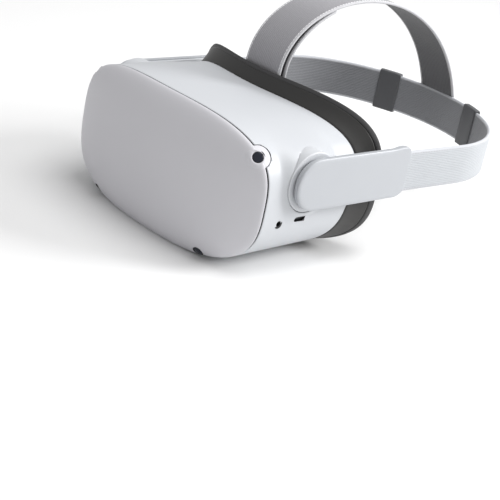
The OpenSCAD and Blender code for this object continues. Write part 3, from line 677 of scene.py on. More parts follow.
# %% [markdown]
# A soft, near-black strip lies in the groove between the plate and the casing, and shows as the thin line
# round the front: painted shade, standing in for the groove's shadow. The groove round it is real and keeps
# its shadow from every side.

# %% Seam strip of painted shade
# Near-black for the seam strip: painted shade for the groove's shadow.
SEAM_SHADE = moulded("seam_painted_shade", (0.03, 0.03, 0.032), 0.8)
SEAM_SHADE_SECTION = [(1.15, 0.2), (1.05, 0.6), (1.15, 1.0), (2.1, 1.0), (2.1, 0.2)]
rows = [seam_row(inset, behind) for inset, behind in SEAM_SHADE_SECTION]
seam_shade_strip = skin("seam_painted_shade_strip", rows, SEAM_SHADE, wrap_rows=True)
settle(seam_shade_strip, "visor", "frame_black")


# %% [markdown]
# ## The tracking cameras
# Each upper camera looks out of a round lobe that belongs to the plate and reaches over the seam into the
# casing. A Shrinkwrap modifier would drop a disc on the two shells, but it would follow the groove
# between them. Here rays find the shells' height all over the lobe, and one smooth quadratic surface is
# fitted through the heights.

# %% Camera lobes
RAY_START = 40 * MM
UPPER_SUNK = 0.35 * MM
LOWER_SUNK = 0.55 * MM


def surface_height(at, sight, across, up, u, v):
    """How far out along the line of sight the shells lie, at an offset across it."""
    start = at + across * u + up * v + sight * RAY_START
    heights = []
    for tree in (plain_casing, plain_plate):
        spot = tree.ray_cast(start, -sight)[0]
        if spot:
            heights.append((spot - at).dot(sight))
    return max(heights) if heights else None


def sight_axes(sight):
    across = sight.cross(Vector((0, 0, 1))).normalized()
    return across, across.cross(sight).normalized() * -1


def lobe_fit(at, sight):
    """Quadratic surface over the lobe, fitted to the shells below it."""
    across, up = sight_axes(sight)
    rows, wanted = [], []
    for r in np.linspace(0, LOBE_R + 0.5 * MM, 9):
        for t in np.linspace(0, 2 * math.pi, 24, endpoint=False):
            u, v = r * math.cos(t), r * math.sin(t)
            height = surface_height(at, sight, across, up, u, v)
            if height is not None:
                rows.append([1, u, v, u * u, u * v, v * v])
                wanted.append(height)
    return np.linalg.lstsq(np.array(rows), np.array(wanted), rcond=None)[0]


def fitted(c, u, v):
    return c[0] + c[1] * u + c[2] * v + c[3] * u * u + c[4] * u * v + c[5] * v * v


upper_fit = lobe_fit(CAMERA_UPPER, CAMERA_UPPER_SIGHT)
print("lobe surface above the camera's own point, mm:", round(upper_fit[0] / MM, 2))


def camera_rows(at, sight, fit, profile, side, steps=72):
    """Rings about a line of sight: profile gives (radius, height above the fitted surface), in mm."""
    across, up = sight_axes(sight)
    rows = []
    for r, h in profile:
        row = []
        for t in np.arange(steps) / steps * 2 * math.pi:
            u, v = r * MM * math.cos(t), r * MM * math.sin(t)
            row.append(mirrored(at + across * u + up * v + sight * (fitted(fit, u, v) + h * MM), side))
        rows.append([tuple(p) for p in row])
    return rows


LOBE = [(4.1, -5.0), (3.55, -1.0), (3.5, -0.35), (3.62, -0.02), (3.9, 0.16), (4.5, 0.24), (5.4, 0.26),
        (6.4, 0.22), (7.1, 0.14), (7.45, 0.02), (7.63, -0.16), (7.7, -0.4), (7.7, -3.0)]
for side, name in SIDES:
    rows = camera_rows(CAMERA_UPPER, CAMERA_UPPER_SIGHT, upper_fit, LOBE, side)
    lobe = skin("camera_lobe_" + name, rows, COVER_WHITE_PAINTED_LIGHT, wrap_rows=True)
    settle(lobe, "visor", "cover_grey")

# %% [markdown]
# Under each opening sits a small domed lens in a dark ring. Both are turned parts about the camera's line
# of sight. They stand a little below the surface round them, as the real ones do, so that a table can't
# scratch them.

# %% Camera glasses
lower_height = surface_height(CAMERA_LOWER, CAMERA_LOWER_SIGHT, *sight_axes(CAMERA_LOWER_SIGHT), 0, 0)
print("plate above the lower camera's own point, mm:", round(lower_height / MM, 2))
GLASS_DOME = [(0.8, 0.34), (1.6, 0.27), (2.3, 0.14), (2.8, 0.0), (3.1, -0.14)]
TUBE = [(3.1, -0.2), (3.3, -0.12), (3.5, -0.35), (3.5, -3.0), (2.2, -3.0), (2.2, -1.0)]


def flat_rows(at, sight, height, profile, side):
    """Rings about a line of sight at heights above a flat plane."""
    return camera_rows(at, sight, [height, 0, 0, 0, 0, 0], profile, side, 48)


for place, at, sight, height in (("upper", CAMERA_UPPER, CAMERA_UPPER_SIGHT, upper_fit[0] - UPPER_SUNK),
                                 ("lower", CAMERA_LOWER, CAMERA_LOWER_SIGHT, lower_height - LOWER_SUNK)):
    for side, name in SIDES:
        dome = flat_rows(at, sight, height, GLASS_DOME + [(3.1, -1.2)], side)
        tip = tuple(mirrored(at + sight * (height + 0.38 * MM), side))
        glass = skin(f"camera_glass_{place}_{name}", dome, CAMERA_GLASS, ends=(tip, True))
        settle(glass, "visor", "camera_glass", f"camera_lens_{place}_{name}")
        rows = flat_rows(at, sight, height, TUBE, side)
        tube = skin(f"camera_ring_{place}_{name}", rows, CAMERA_BLACK, wrap_rows=True)
        settle(tube, "visor", "camera_black")

# %% [markdown]
# ## Pivot collars and arms
# Each arm turns on a collar. The collar is a turned part with a fine gap round it, and the arm is a thin
# two-layer blade: the outer cover has a generous rounded edge, and the inner plate is a little smaller,
# so that a fine shadow line separates them. A Bevel modifier would round the cover's edge evenly. The
# edge is made of insets instead, because it has to fade out at the arm's end, where the strap comes out.

# %% Pivot collars
COLLAR = [(72, 3.9), (90.3, 3.9), (90.3, 18.4)] + arc((89.5, 19.0), 0.8, 0, 90, 7) + [(84, 19.8), (72, 19.8)]
for side, name in SIDES:
    rows = turned_about_x([(x * MM, r * MM) for x, r in COLLAR], PIVOT, 144, side)
    collar = skin("pivot_collar_" + name, rows, COLLAR_WHITE, wrap_rows=True)
    settle(collar, "visor", "shell_white", "pivot_hub_" + name)


# %% Arm blades
ARM_R = 17 * MM
ARM_LEN = 84 * MM
low_edge = STRAP_Z - PIVOT.z - STRAP_H / 2
high_edge = STRAP_Z - PIVOT.z + STRAP_H / 2


def smoothed(points, spacing, rounds):
    """Closed line with evenly spaced points and softened corners."""
    points = np.array(points + points[:1])
    run = np.concatenate([[0], np.cumsum(np.linalg.norm(np.diff(points, axis=0), axis=1))])
    count = int(run[-1] / spacing)
    where = np.arange(count) / count * run[-1]
    line = np.stack([np.interp(where, run, points[:, c]) for c in (0, 1)], 1)
    for _ in range(rounds):
        line = (np.roll(line, 1, 0) + 2 * line + np.roll(line, -1, 0)) / 4
    return line


def drawn_in(line, d):
    """The line moved inwards by d along its normals."""
    along = np.roll(line, -1, 0) - np.roll(line, 1, 0)
    along /= np.linalg.norm(along, axis=1)[:, None]
    return line + d * np.stack([-along[:, 1], along[:, 0]], 1)


round_end = [(ARM_R * math.cos(t), ARM_R * math.sin(t)) for t in np.radians(np.linspace(90, 270, 91))]
END_STEP = [(8, -ARM_R, 0), (4.5, -ARM_R, 0.7), (0.8, low_edge, 0), (0, low_edge, 1.2), (0, high_edge, -1.2),
            (0.6, high_edge, 0.6), (2.6, ARM_R, 0.4), (5, ARM_R, 0.8), (10, ARM_R, 0.8), (14, ARM_R, 0.2),
            (17, ARM_R, 0)]
step_end = [(ARM_LEN - before * MM, height + more * MM) for before, height, more in END_STEP]
blade = smoothed(round_end + step_end, 0.8 * MM, 6)
bevel_share = 0.3 + 0.7 * eased((ARM_LEN - 8 * MM - blade[:, 0]) / (10 * MM))
print("arm outline points:", len(blade))


def blade_rows(profile, side):
    """Rows of an arm layer: profile gives (x, inset)."""
    rows = []
    for x, inset in profile:
        line = drawn_in(blade, inset * MM * bevel_share[:, None])
        rows.append(np.stack([np.full(len(line), side * x * MM), PIVOT.y + line[:, 0],
                              PIVOT.z + line[:, 1]], 1))
    return rows


def closed_blade(name, profile, side, material):
    """Arm layer whose two flat faces are each closed with one many-sided face."""
    layer = skin(name, blade_rows(profile, side), material)
    form = bmesh.new()
    form.from_mesh(layer.data)
    bmesh.ops.holes_fill(form, edges=[e for e in form.edges if e.is_boundary], sides=0)
    bmesh.ops.recalc_face_normals(form, faces=form.faces)
    form.to_mesh(layer.data)
    form.free()
    return layer


BEVEL_X, BEVEL_OUT, BEVEL_IN = 94.9, 0.85, 2.9
bevel = [(BEVEL_X + BEVEL_OUT * math.sin(t), BEVEL_IN * (1 - math.cos(t)))
         for t in np.radians(np.linspace(0, 90, 11))]
COVER_EDGE = [(92.1, 5.0), (92.1, 0.5), (92.2, 0.15), (92.45, 0), (94.6, 0)] + bevel + [(95.75, 3.6)]
PLATE_EDGE = [(90.8, 5.0), (90.8, 1.6), (91.0, 1.2), (91.4, 1.0), (91.9, 1.0), (92.05, 1.4), (92.05, 5.0)]
for side, name in SIDES:
    # The cover takes the darker copy of the white plastic: painted shade.
    cover = closed_blade("arm_shell_" + name, COVER_EDGE, side, ARM_WHITE_PAINTED_SHADE)
    settle(cover, "arm_" + name, "arm_white", "arm_cover_" + name)
    plate = closed_blade("arm_backing_" + name, PLATE_EDGE, side, COLLAR_WHITE)
    settle(plate, "arm_" + name, "arm_inner", "arm_plate_" + name)

# %% [markdown]
# ## The back bezel
# A dark flange rises from the casing's back edge to a ridge. Its section is a shallow hollow, then a fine
# groove, then a rounded lip that catches the light. Extruding and bevelling could build it up step by
# step, but it is easier to draw the section once, as shares of the way from rim to ridge, and to blend
# the two outlines.

# %% Bezel
def bezel_ring(share, out=0.0, back=0.0):
    """Ring between the casing's rim and the ridge, that much out of the surface and back from it, in mm."""
    points = mix(shell_ring(1, -out * MM), ridge_ring(-out * MM), share) + [0, back * MM, 0]
    points[:, 2] = np.maximum(points[:, 2], 0)
    return points


HOLLOW_START, LIP_START, LIP_END = 0.05, 0.80, 1.02
HOLLOW_DEPTH, LIP_RISE = 0.495, 0.42
section = [(0.0, -0.45), (0.015, -0.1), (HOLLOW_START, 0.0)]
section += [(s, -HOLLOW_DEPTH * math.sin(math.pi * (s - HOLLOW_START) / (LIP_START - HOLLOW_START)))
            for s in np.linspace(0.1, LIP_START - 0.04, 12)]
section += [(LIP_START - 0.02, -0.05), (LIP_START - 0.01, -0.55), (LIP_START + 0.012, -0.6),
            (LIP_START + 0.02, 0.05)]
lip_first = len(section) - 1
section += [(s, 0.05 + LIP_RISE * math.sin(math.pi * (s - LIP_START) / (LIP_END - LIP_START)) ** 0.7)
            for s in np.linspace(LIP_START + 0.03, 0.985, 9)]
section += [(1.0, 0.12)]
lip_last = len(section) - 1
rows = [bezel_ring(s, out) for s, out in section]
rows += [bezel_ring(1, -0.35, 0.35), bezel_ring(1, -1.0, 0.5), bezel_ring(1, -2.2, 0.3),
         bezel_ring(1, -2.6, -0.2)]
rows += [bezel_ring(s, -2.6) for s in (0.75, 0.5, 0.25, 0.0)]
# The lip's faces take the lighter lip grey, a painted highlight on the lit ridge.
bezel = skin("bezel", rows, [BEZEL_BLACK, LIP_PAINTED_HIGHLIGHT], wrap_rows=True,
             zone=lambda k, i: 1 if lip_first <= k < lip_last else 0)
settle(bezel, "visor", "bezel_black", "back_bezel")

# %% [markdown]
# Two small brackets behind the ridge hold the bar that the top strap goes round. Each is one flat outline
# carried across its thickness, with its rim drawn in a little, so that its edges catch the light as a
# moulded part's do.

# %% Brackets that hold the strap bar
BRACKET_SIDE = [(-8.65, -2), (-6, 5.5), (-3, 5.5), (3, 3), (3, -3), (-5.5, -3)]
for side, name in SIDES:
    rows = []
    for x, shrink in ((17.0, 0.95), (17.3, 1), (19.7, 1), (20.0, 0.95)):
        rows.append([(side * x * MM, BAR.y + y * shrink * MM, BAR.z + z * shrink * MM)
                     for y, z in BRACKET_SIDE])
    bracket = skin("bar_bracket_" + name, rows, BEZEL_BLACK, ends=(True, True))
    for face in bracket.data.polygons:
        face.use_smooth = False
    settle(bracket, "visor", "bezel_black")


# %% [markdown]
# ## Woven elastic
# The straps are knitted elastic bands: fine ribs run lengthwise, short cross threads fill them, and a
# flat edge binding is sewn along both sides. Every rib could be a thread of its own, but hundreds of them
# a millimetre apart read the same as a bump. The ribs read the strap's own map, so they follow every
# bend.

# %% Elastic
THREAD_PITCH = 0.7 * MM
BINDING_W = 2.0 * MM
RIB_DEPTH = 0.22 * MM


def elastic(name, colour, edge_colour, half_width, pitch=1.25 * MM):
    finish = Finish(name, 0.85, Sheen_Weight=0.25, Sheen_Roughness=0.5)
    chart = finish.node("SeparateXYZ", None, {"Vector": finish.place("UV")})
    cross, along = Value(finish, chart.outputs["X"]), Value(finish, chart.outputs["Y"])
    ribs = (cross * (2 * math.pi / pitch)).sine()
    threads = (along * (2 * math.pi / THREAD_PITCH) + ribs * 1.2).sine()
    border = cross.size().smooth(half_width - BINDING_W, half_width - BINDING_W + 0.25 * MM)
    wool = finish.noise(900, 2)
    slow = finish.noise(30, 2)
    light = ribs * 0.28 + threads * 0.10 + wool * 0.35 + slow * 0.25 + 0.22
    dark = tuple(c * 0.80 for c in colour)
    bright = tuple(min(1, c * 1.12) for c in colour)
    body = finish.blend(dark, bright, light)
    finish.feed("Base Color", finish.blend(body, edge_colour, border * 0.85))
    finish.feed("Roughness", 0.8 + wool * 0.15)
    relief = ribs * (1 - border) * 0.6 + threads * 0.25 + wool * 0.3 - border * 0.4
    finish.bump(relief, 0.55, RIB_DEPTH)
    return finish.material


TOP_HALF = 16.5 * MM
SIDE_OUT = elastic("side_elastic_outer", (0.48, 0.50, 0.525), (0.53, 0.54, 0.57), STRAP_H / 2)
# The inner faces are far darker than the outer ones: painted shade for the inside of the strap loop.
SIDE_IN_SHADE = elastic("side_elastic_inner_painted_shade", (0.23, 0.235, 0.25), (0.42, 0.42, 0.44), STRAP_H / 2)
# The top strap's outer face is darker than the side strap's: partly its own darker grey, partly painted
# shade.
TOP_OUT_GREY_AND_SHADE = elastic("top_elastic_outer_grey_and_painted_shade", (0.31, 0.305, 0.325), (0.56, 0.56, 0.58), TOP_HALF, 1.5 * MM)
# Near-black inner faces of the top strap, also used on both faces of the fold: painted shade under the
# strap; the pale binding is its own colour.
TOP_IN_SHADE = elastic("top_elastic_inner_painted_shade", (0.075, 0.075, 0.08), (0.50, 0.50, 0.51), TOP_HALF, 1.5 * MM)
print("ribs across the side strap:", round(STRAP_H / (1.25 * MM)))


# %% [markdown]
# ## The straps as ribbons
# A strap is a thin band with rounded edges that follows a line. A curve object with a bevel could make
# one, but its twist is hard to steer. Here each point of the line has two directions of its own, one
# across the band's width and one through its thickness, and the band's section is carried along the line
# on them.

# %% Ribbon
BAND_FACES = 14
BAND_ROUNDING = 10
OUTER, INNER, RIM = 0, 1, 2


def band_section(half_w, half_t):
    """Closed section as (across, out) pairs, with the zone of the face that starts at each."""
    flat = half_w - half_t
    section, zones = [], []
    for side, zone in ((1, OUTER), (-1, INNER)):
        for q in np.linspace(-flat * side, flat * side, BAND_FACES + 1):
            section.append((q, half_t * side))
            zones.append(zone)
        zones[-1] = RIM
        start = 180 - 90 * side
        for a in np.radians(np.linspace(start, start - 180, BAND_ROUNDING + 1)[1:-1]):
            section.append((flat * side + half_t * math.cos(a), half_t * math.sin(a)))
            zones.append(RIM)
    return section, zones


def ribbon(name, line, outward, crosswise, half_w, half_t, materials):
    """Band along line; outward and crosswise hold unit vectors, and materials are outer, inner and rim."""
    section, zones = band_section(half_w, half_t)

    def squeezed(k, share, push):
        """Row past an end of the line, thinned to a share of its thickness, which rounds the end off."""
        run = (line[k] - line[1 if k == 0 else -2]).normalized()
        return [line[k] + run * push + crosswise[k] * q * (1 - (1 - share) * half_t / half_w)
                + outward[k] * h * share for q, h in section]

    last = len(line) - 1
    rows = [squeezed(0, 0.15, half_t), squeezed(0, 0.7, half_t * 0.7)]
    rows += [[p + c * q + o * h for q, h in section] for p, o, c in zip(line, outward, crosswise)]
    rows += [squeezed(last, 0.7, half_t * 0.7), squeezed(last, 0.15, half_t)]
    return skin(name, [[tuple(p) for p in r] for r in rows], materials, ends=(True, True),
                zone=lambda k, i: zones[i], across=np.array([q for q, _ in section]))


# %% [markdown]
# ## The side strap
# Its line repeats the CAD's: nearly straight beside the arm, then a tight arc round the side of the head
# and a wide arc behind it. Cloth simulation could let it hang, but a strap held open on a head keeps this
# shape. The corners where two arcs meet are smoothed, because elastic can't hold a kink.

# %% Side strap
SIDE_T = 2.6 * MM
BACK_R = 110 * MM
BACK_A = math.radians(34)
BACK_Y = 142.3 * MM
SIDE_X = 97 * MM
STRAP_IN_X = 94.85 * MM
STRAP_START = PIVOT.y + ARM_LEN - 12 * MM
side_r = (SIDE_X - BACK_R * math.sin(BACK_A)) / (1 - math.sin(BACK_A))
side_centre = ((BACK_R - side_r) * math.sin(BACK_A), BACK_Y - BACK_R + (BACK_R - side_r) * math.cos(BACK_A))
back_centre = (0.0, BACK_Y - BACK_R)


def half_line():
    """Outer face of the strap's left half, from the arm to the middle of the back."""
    leaves_arm = PIVOT.y + ARM_LEN + 2 * MM
    points = [(STRAP_IN_X, y) for y in np.linspace(STRAP_START, leaves_arm, 8)]
    for y in np.linspace(leaves_arm + 2 * MM, side_centre[1] - 2 * MM, 24):
        share = (y - leaves_arm) / (side_centre[1] - leaves_arm)
        points.append((mix(STRAP_IN_X, SIDE_X, share), y))
    for a in np.linspace(0, math.pi / 2 - BACK_A, 40):
        points.append((side_centre[0] + side_r * math.cos(a), side_centre[1] + side_r * math.sin(a)))
    for a in np.linspace(math.pi / 2 - BACK_A, math.pi / 2, 40)[1:]:
        points.append((BACK_R * math.cos(a), back_centre[1] + BACK_R * math.sin(a)))
    return points


SOFTENING = 4


def even_line(points, spacing):
    """Open line with evenly spaced points, its corners softened and its ends kept."""
    points = np.array(points)
    run = np.concatenate([[0], np.cumsum(np.linalg.norm(np.diff(points, axis=0), axis=1))])
    where = np.linspace(0, run[-1], int(run[-1] / spacing) + 1)
    line = np.stack([np.interp(where, run, points[:, c]) for c in (0, 1)], 1)
    for _ in range(SOFTENING):
        line[1:-1] = (line[:-2] + 2 * line[1:-1] + line[2:]) / 4
    return line


half = half_line()
loop = even_line(half + [(-x, y) for x, y in half[-2::-1]], 2.2 * MM)
along = np.gradient(loop, axis=0)
along /= np.linalg.norm(along, axis=1)[:, None]
outward = [Vector((t[1], -t[0], 0)) for t in along]
centre_line = [Vector((p[0], p[1], STRAP_Z)) - o * SIDE_T / 2 for p, o in zip(loop, outward)]
upwards = [Vector((0, 0, 1))] * len(loop)
side_strap = ribbon("side_strap_band", centre_line, outward, upwards, STRAP_H / 2, SIDE_T / 2,
                    [SIDE_OUT, SIDE_IN_SHADE, SIDE_OUT])
settle(side_strap, "arm_left", "strap_white", "side_strap")

# %% [markdown]
# ## The top strap
# One band: it starts at its folded end, comes down to the bar, wraps round it and goes back over the head
# to the rear. The run over the head is one cubic curve with four points, because a pulled strap has no
# corner in it. The main run and the fold are two pieces, as in the CAD.

# %% Top strap
TOP_T = 1.8 * MM
BAR_R = 1.5 * MM
GAP = 0.3 * MM
FOLD_END = 0.36
curve = [Vector((0, BAR.y - BAR_R - GAP - TOP_T / 2, BAR.z)), Vector((0, -62.5 * MM, 164.5 * MM)),
         Vector((0, 96 * MM, 180.5 * MM)), Vector((0, BACK_Y - 1.3 * MM, STRAP_Z + STRAP_H / 2))]


def on_curve(u):
    """Point on the run over the head, for u from 0 at the bar to 1 at the rear."""
    a, b, c, d = curve
    return a * (1 - u) ** 3 + b * 3 * u * (1 - u) ** 2 + c * 3 * u * u * (1 - u) + d * u ** 3


def inwards(u):
    """Unit vector from the run towards the head."""
    a, b, c, d = curve
    run = (b - a) * (1 - u) ** 2 + (c - b) * 2 * u * (1 - u) + (d - c) * u * u
    run.normalize()
    return Vector((0, run.z, -run.y))


def fold_gap(u):
    """How far the fold lies under the main run: the bar's width at first, and touching it at the end."""
    w = u / FOLD_END
    return mix(2 * (BAR_R + GAP) + TOP_T, TOP_T, w ** 0.8) + 1.6 * MM * math.sin(math.pi * w)


side_by_side = Vector((1, 0, 0))
loop_r = BAR_R + GAP + TOP_T / 2
round_bar = [BAR + Vector((0, loop_r * math.cos(t), loop_r * math.sin(t)))
             for t in np.linspace(0, -math.pi, 13)]
round_out = [(p - BAR).normalized() for p in round_bar]
us = np.linspace(0, 1, 121)[1:]
main_line = round_bar + [on_curve(u) for u in us]
main_out = round_out + [-inwards(u) for u in us]
main_across = [side_by_side] * len(main_line)
top_strap = ribbon("top_strap_band", main_line, main_out, main_across, TOP_HALF, TOP_T / 2,
                   [TOP_OUT_GREY_AND_SHADE, TOP_IN_SHADE, TOP_OUT_GREY_AND_SHADE])
us = np.linspace(0, FOLD_END, 48)
fold_line = [on_curve(u) + inwards(u) * fold_gap(u) for u in us]
fold_out = [-inwards(u) for u in us]
fold_across = [side_by_side] * len(us)
# Both faces of the fold take the near-black inner colour: painted shade for the fold tucked under the main
# run.
fold_strap = ribbon("top_strap_fold_band", fold_line, fold_out, fold_across, TOP_HALF, TOP_T / 2,
                    [TOP_IN_SHADE, TOP_IN_SHADE, TOP_OUT_GREY_AND_SHADE])
print("top strap length, mm:", round(sum((b - a).length for a, b in zip(main_line, main_line[1:])) / MM))

# %% [markdown]
# ## Stitches
# Sewing repeats, so Geometry Nodes make it: a line becomes a curve, the curve is resampled at the
# stitch's pitch, and a small rounded thread is placed on every point and turned along the line. An Array
# modifier on a curve could do it too, but it stretches each stitch where the line bends.

# %% Stitch tree
def make_stitch_tree():
    tree = bpy.data.node_groups.new("stitches", "GeometryNodeTree")
    face = tree.interface
    for name, kind in (("Geometry", "NodeSocketGeometry"), ("Pitch", "NodeSocketFloat"),
                       ("Length", "NodeSocketFloat"), ("Thread", "NodeSocketFloat"),
                       ("Finish", "NodeSocketMaterial")):
        face.new_socket(name=name, in_out="INPUT", socket_type=kind)
    face.new_socket(name="Geometry", in_out="OUTPUT", socket_type="NodeSocketGeometry")

    def add(kind, settings=None, **inputs):
        node = tree.nodes.new(kind)
        for key, value in (settings or {}).items():
            setattr(node, key, value)
        for key, value in inputs.items():
            socket = node.inputs[key.replace("_", " ")]
            if isinstance(value, bpy.types.NodeSocket):
                tree.links.new(value, socket)
            else:
                socket.default_value = value
        return node

    given = tree.nodes.new("NodeGroupInput").outputs
    line = add("GeometryNodeMeshToCurve", Mesh=given["Geometry"])
    even = add("GeometryNodeResampleCurve", {"mode": "LENGTH"}, Curve=line.outputs[0], Length=given["Pitch"])
    thread = add("GeometryNodeMeshUVSphere", Segments=6, Rings=5, Radius=1.0)
    along = add("GeometryNodeInputTangent")
    turn = add("FunctionNodeAlignRotationToVector", {"axis": "Z"}, Vector=along.outputs[0])
    size = add("ShaderNodeCombineXYZ", X=given["Thread"], Y=given["Thread"], Z=given["Length"])
    placed = add("GeometryNodeInstanceOnPoints", Points=even.outputs[0], Instance=thread.outputs["Mesh"],
                 Rotation=turn.outputs[0], Scale=size.outputs[0])
    real = add("GeometryNodeRealizeInstances", Geometry=placed.outputs[0])
    smooth = add("GeometryNodeSetShadeSmooth", Geometry=real.outputs[0])
    dyed = add("GeometryNodeSetMaterial", Geometry=smooth.outputs[0], Material=given["Finish"])
    out = tree.nodes.new("NodeGroupOutput")
    tree.links.new(dyed.outputs[0], out.inputs["Geometry"])
    return tree


STITCH_TREE = make_stitch_tree()
THREAD_LIGHT = moulded("thread_light", (0.78, 0.78, 0.79), 0.7, grain=0.6)
THREAD_GREY = moulded("thread_grey", (0.40, 0.40, 0.41), 0.7, grain=0.6)


STITCH_PITCH = 2.6 * MM
STITCH_HALF = 0.95 * MM


def sew(name, lines, thread, radius=0.24 * MM):
    """Stitches along lines of points, as one plain mesh."""
    points, edges = [], []
    for line in lines:
        first = len(points)
        points += [tuple(p) for p in line]
        edges += [(first + i, first + i + 1) for i in range(len(line) - 1)]
    mesh = bpy.data.meshes.new(name)
    mesh.from_pydata(points, edges, [])
    piece = bpy.data.objects.new(name, mesh)
    bpy.context.scene.collection.objects.link(piece)
    tool = piece.modifiers.new("stitches", "NODES")
    tool.node_group = STITCH_TREE
    values = {"Pitch": STITCH_PITCH, "Length": STITCH_HALF, "Thread": radius, "Finish": thread}
    for item in STITCH_TREE.interface.items_tree:
        if item.in_out == "INPUT" and item.name in values:
            tool[item.identifier] = values[item.name]
    bpy.context.view_layer.update()
    result = bpy.data.meshes.new_from_object(piece.evaluated_get(bpy.context.evaluated_depsgraph_get()))
    piece.modifiers.clear()
    piece.data = result
    print(name, "faces:", len(result.polygons))
    return piece


# %% [markdown]
# Each strap has a seam beside both of its edges, and the side strap has one on its inner face too. The top
# strap is fixed to the visor at one end and to the arms' strap at the other; its pieces keep their place in
# the world and are put on no body.

# %% Sewing the straps
SEAM_IN = 1.5 * MM


def beside(line, outward, crosswise, half_w, out):
    """Two lines beside the edges of a strap, and that far out of its middle."""
    return [[p + c * q * (half_w - SEAM_IN) + o * out for p, o, c in zip(line, outward, crosswise)]
            for q in (-1, 1)]


top_seams = sew("top_strap_stitches",
                beside(main_line[8:], main_out[8:], main_across, TOP_HALF, TOP_T / 2 + 0.03 * MM),
                THREAD_LIGHT)
fold_seams = sew("top_strap_fold_stitches",
                 beside(fold_line, fold_out, fold_across, TOP_HALF, -TOP_T / 2), THREAD_LIGHT)
for piece, slot, nodes in ((top_strap, "strap_grey", ["top_strap"]),
                           (fold_strap, "fold_grey", ["top_strap_fold"]),
                           (top_seams, "strap_grey", []), (fold_seams, "strap_grey", [])):
    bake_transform(piece)
    if nodes:
        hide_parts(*nodes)
seams = []
for out in (SIDE_T / 2 + 0.02 * MM, -SIDE_T / 2 - 0.02 * MM):
    seams += beside(centre_line[4:-4], outward[4:-4], upwards, STRAP_H / 2, out)
side_seams = sew("side_strap_stitches", seams, THREAD_GREY, 0.17 * MM)
settle(side_seams, "arm_left", "strap_white")


# %% [markdown]
# ## Buckles and the rear patch
# Each slider is a flat moulded loop that the strap passes through. A box with a hole could be bent to the
# strap's arc, but its wall would change thickness. Instead a closed ring section is carried a few degrees
# round the arc, with its ends drawn in so that no edge is sharp. The patch is a thin sewn cover plate.

# %% Sliders
def around_back(angle, r, z):
    """Point at an angle round the back arc's centre."""
    return (r * math.sin(angle), back_centre[1] + r * math.cos(angle), z)


def rounded_box(half_out, half_up, corner):
    """Closed outline of a rounded rectangle as (out, up) pairs."""
    points = []
    for sx, sz, start in ((1, 1, 0), (-1, 1, 90), (-1, -1, 180), (1, -1, 270)):
        points += arc((sx * (half_out - corner), sz * (half_up - corner)), corner, start, start + 90)
    return points


SLIDER_MID = BACK_R - SIDE_T / 2
SLIDER_AT = 22
SLIDER_OUT, SLIDER_UP = 2.4 * MM, STRAP_H / 2 + 1.4 * MM
SLOT_OUT, SLOT_UP = 1.6 * MM, STRAP_H / 2 + 0.3 * MM
SLIDER_RUN = [(-4.6, 0.5), (-4.5, 0.2), (-4.2, 0.0), (-2, 0.0), (0, 0.0), (2, 0.0), (4.2, 0.0), (4.5, 0.2),
              (4.6, 0.5)]
for side, name in SIDES:
    boxes = [(degrees, rounded_box(SLIDER_OUT - d * MM, SLIDER_UP - d * MM, 1.1 * MM))
             for degrees, d in SLIDER_RUN]
    boxes += [(degrees, rounded_box(SLOT_OUT + d * MM * 0.3, SLOT_UP + d * MM * 0.3, 0.6 * MM))
              for degrees, d in SLIDER_RUN[::-1]]
    rows = [[around_back(side * math.radians(SLIDER_AT + degrees), SLIDER_MID + o, STRAP_Z + u)
             for o, u in box] for degrees, box in boxes]
    slider = skin("strap_buckle_" + name, rows, SLIDER_DARK, wrap_rows=True)
    settle(slider, "slider_" + name, "slider_dark", "strap_slider_" + name)

# %% Rear patch
PATCH_LOW, PATCH_HIGH = STRAP_Z - 9 * MM, STRAP_Z + STRAP_H / 2
patch_mid = (PATCH_LOW + PATCH_HIGH) / 2
patch_half_w = math.radians(9) * BACK_R
patch_half_h = (PATCH_HIGH - PATCH_LOW) / 2
PATCH_EDGE = [(6, 1.2), (2.2, 1.2), (0.7, 1.12), (0.2, 0.85), (0, 0.5), (0, 0.0), (6, 0.0)]
rows = []
for inset, out in PATCH_EDGE:
    box = rounded_box(patch_half_w - inset * MM, patch_half_h - inset * MM, max(4 - inset, 0.4) * MM)
    rows.append([around_back(w / BACK_R, BACK_R + out * MM, patch_mid + u) for w, u in box])
patch = skin("rear_patch", rows, [BEZEL_BLACK],
             ends=(around_back(0, BACK_R + 1.2 * MM, patch_mid), around_back(0, BACK_R, patch_mid)))
settle(patch, "arm_left", "fold_grey", "strap_patch")
frame_box = rounded_box(patch_half_w - 1.8 * MM, patch_half_h - 1.8 * MM, 2.5 * MM)
patch_seams = sew("rear_patch_stitches",
                  [[Vector(around_back(w / BACK_R, BACK_R + 1.22 * MM, patch_mid + u))
                    for w, u in frame_box + frame_box[:1]]], THREAD_GREY)
settle(patch_seams, "arm_left", "fold_grey")

# %% [markdown]
# ## The face piece
# A stiff frame carries a ring of foam that touches the face. Both run round the opening and stop at each
# side of the nose, so they are made as bands with two ends. Cloth simulation could puff the foam up, but
# it is a moulded pad that holds its shape, so its crowned section is drawn, and its ends are rounded off.

# %% Face piece
FACE_HALF_W = 81.5 * MM
FACE_LOW, FACE_TOP = 3.6 * MM, 88.3 * MM
FACE_HALF_H = (FACE_TOP - FACE_LOW) / 2
FACE_ZC = (FACE_TOP + FACE_LOW) / 2
FACE_POWER = 3.3
FACE_TILT = -0.035
NOSE_HALF_W = 21.5 * MM


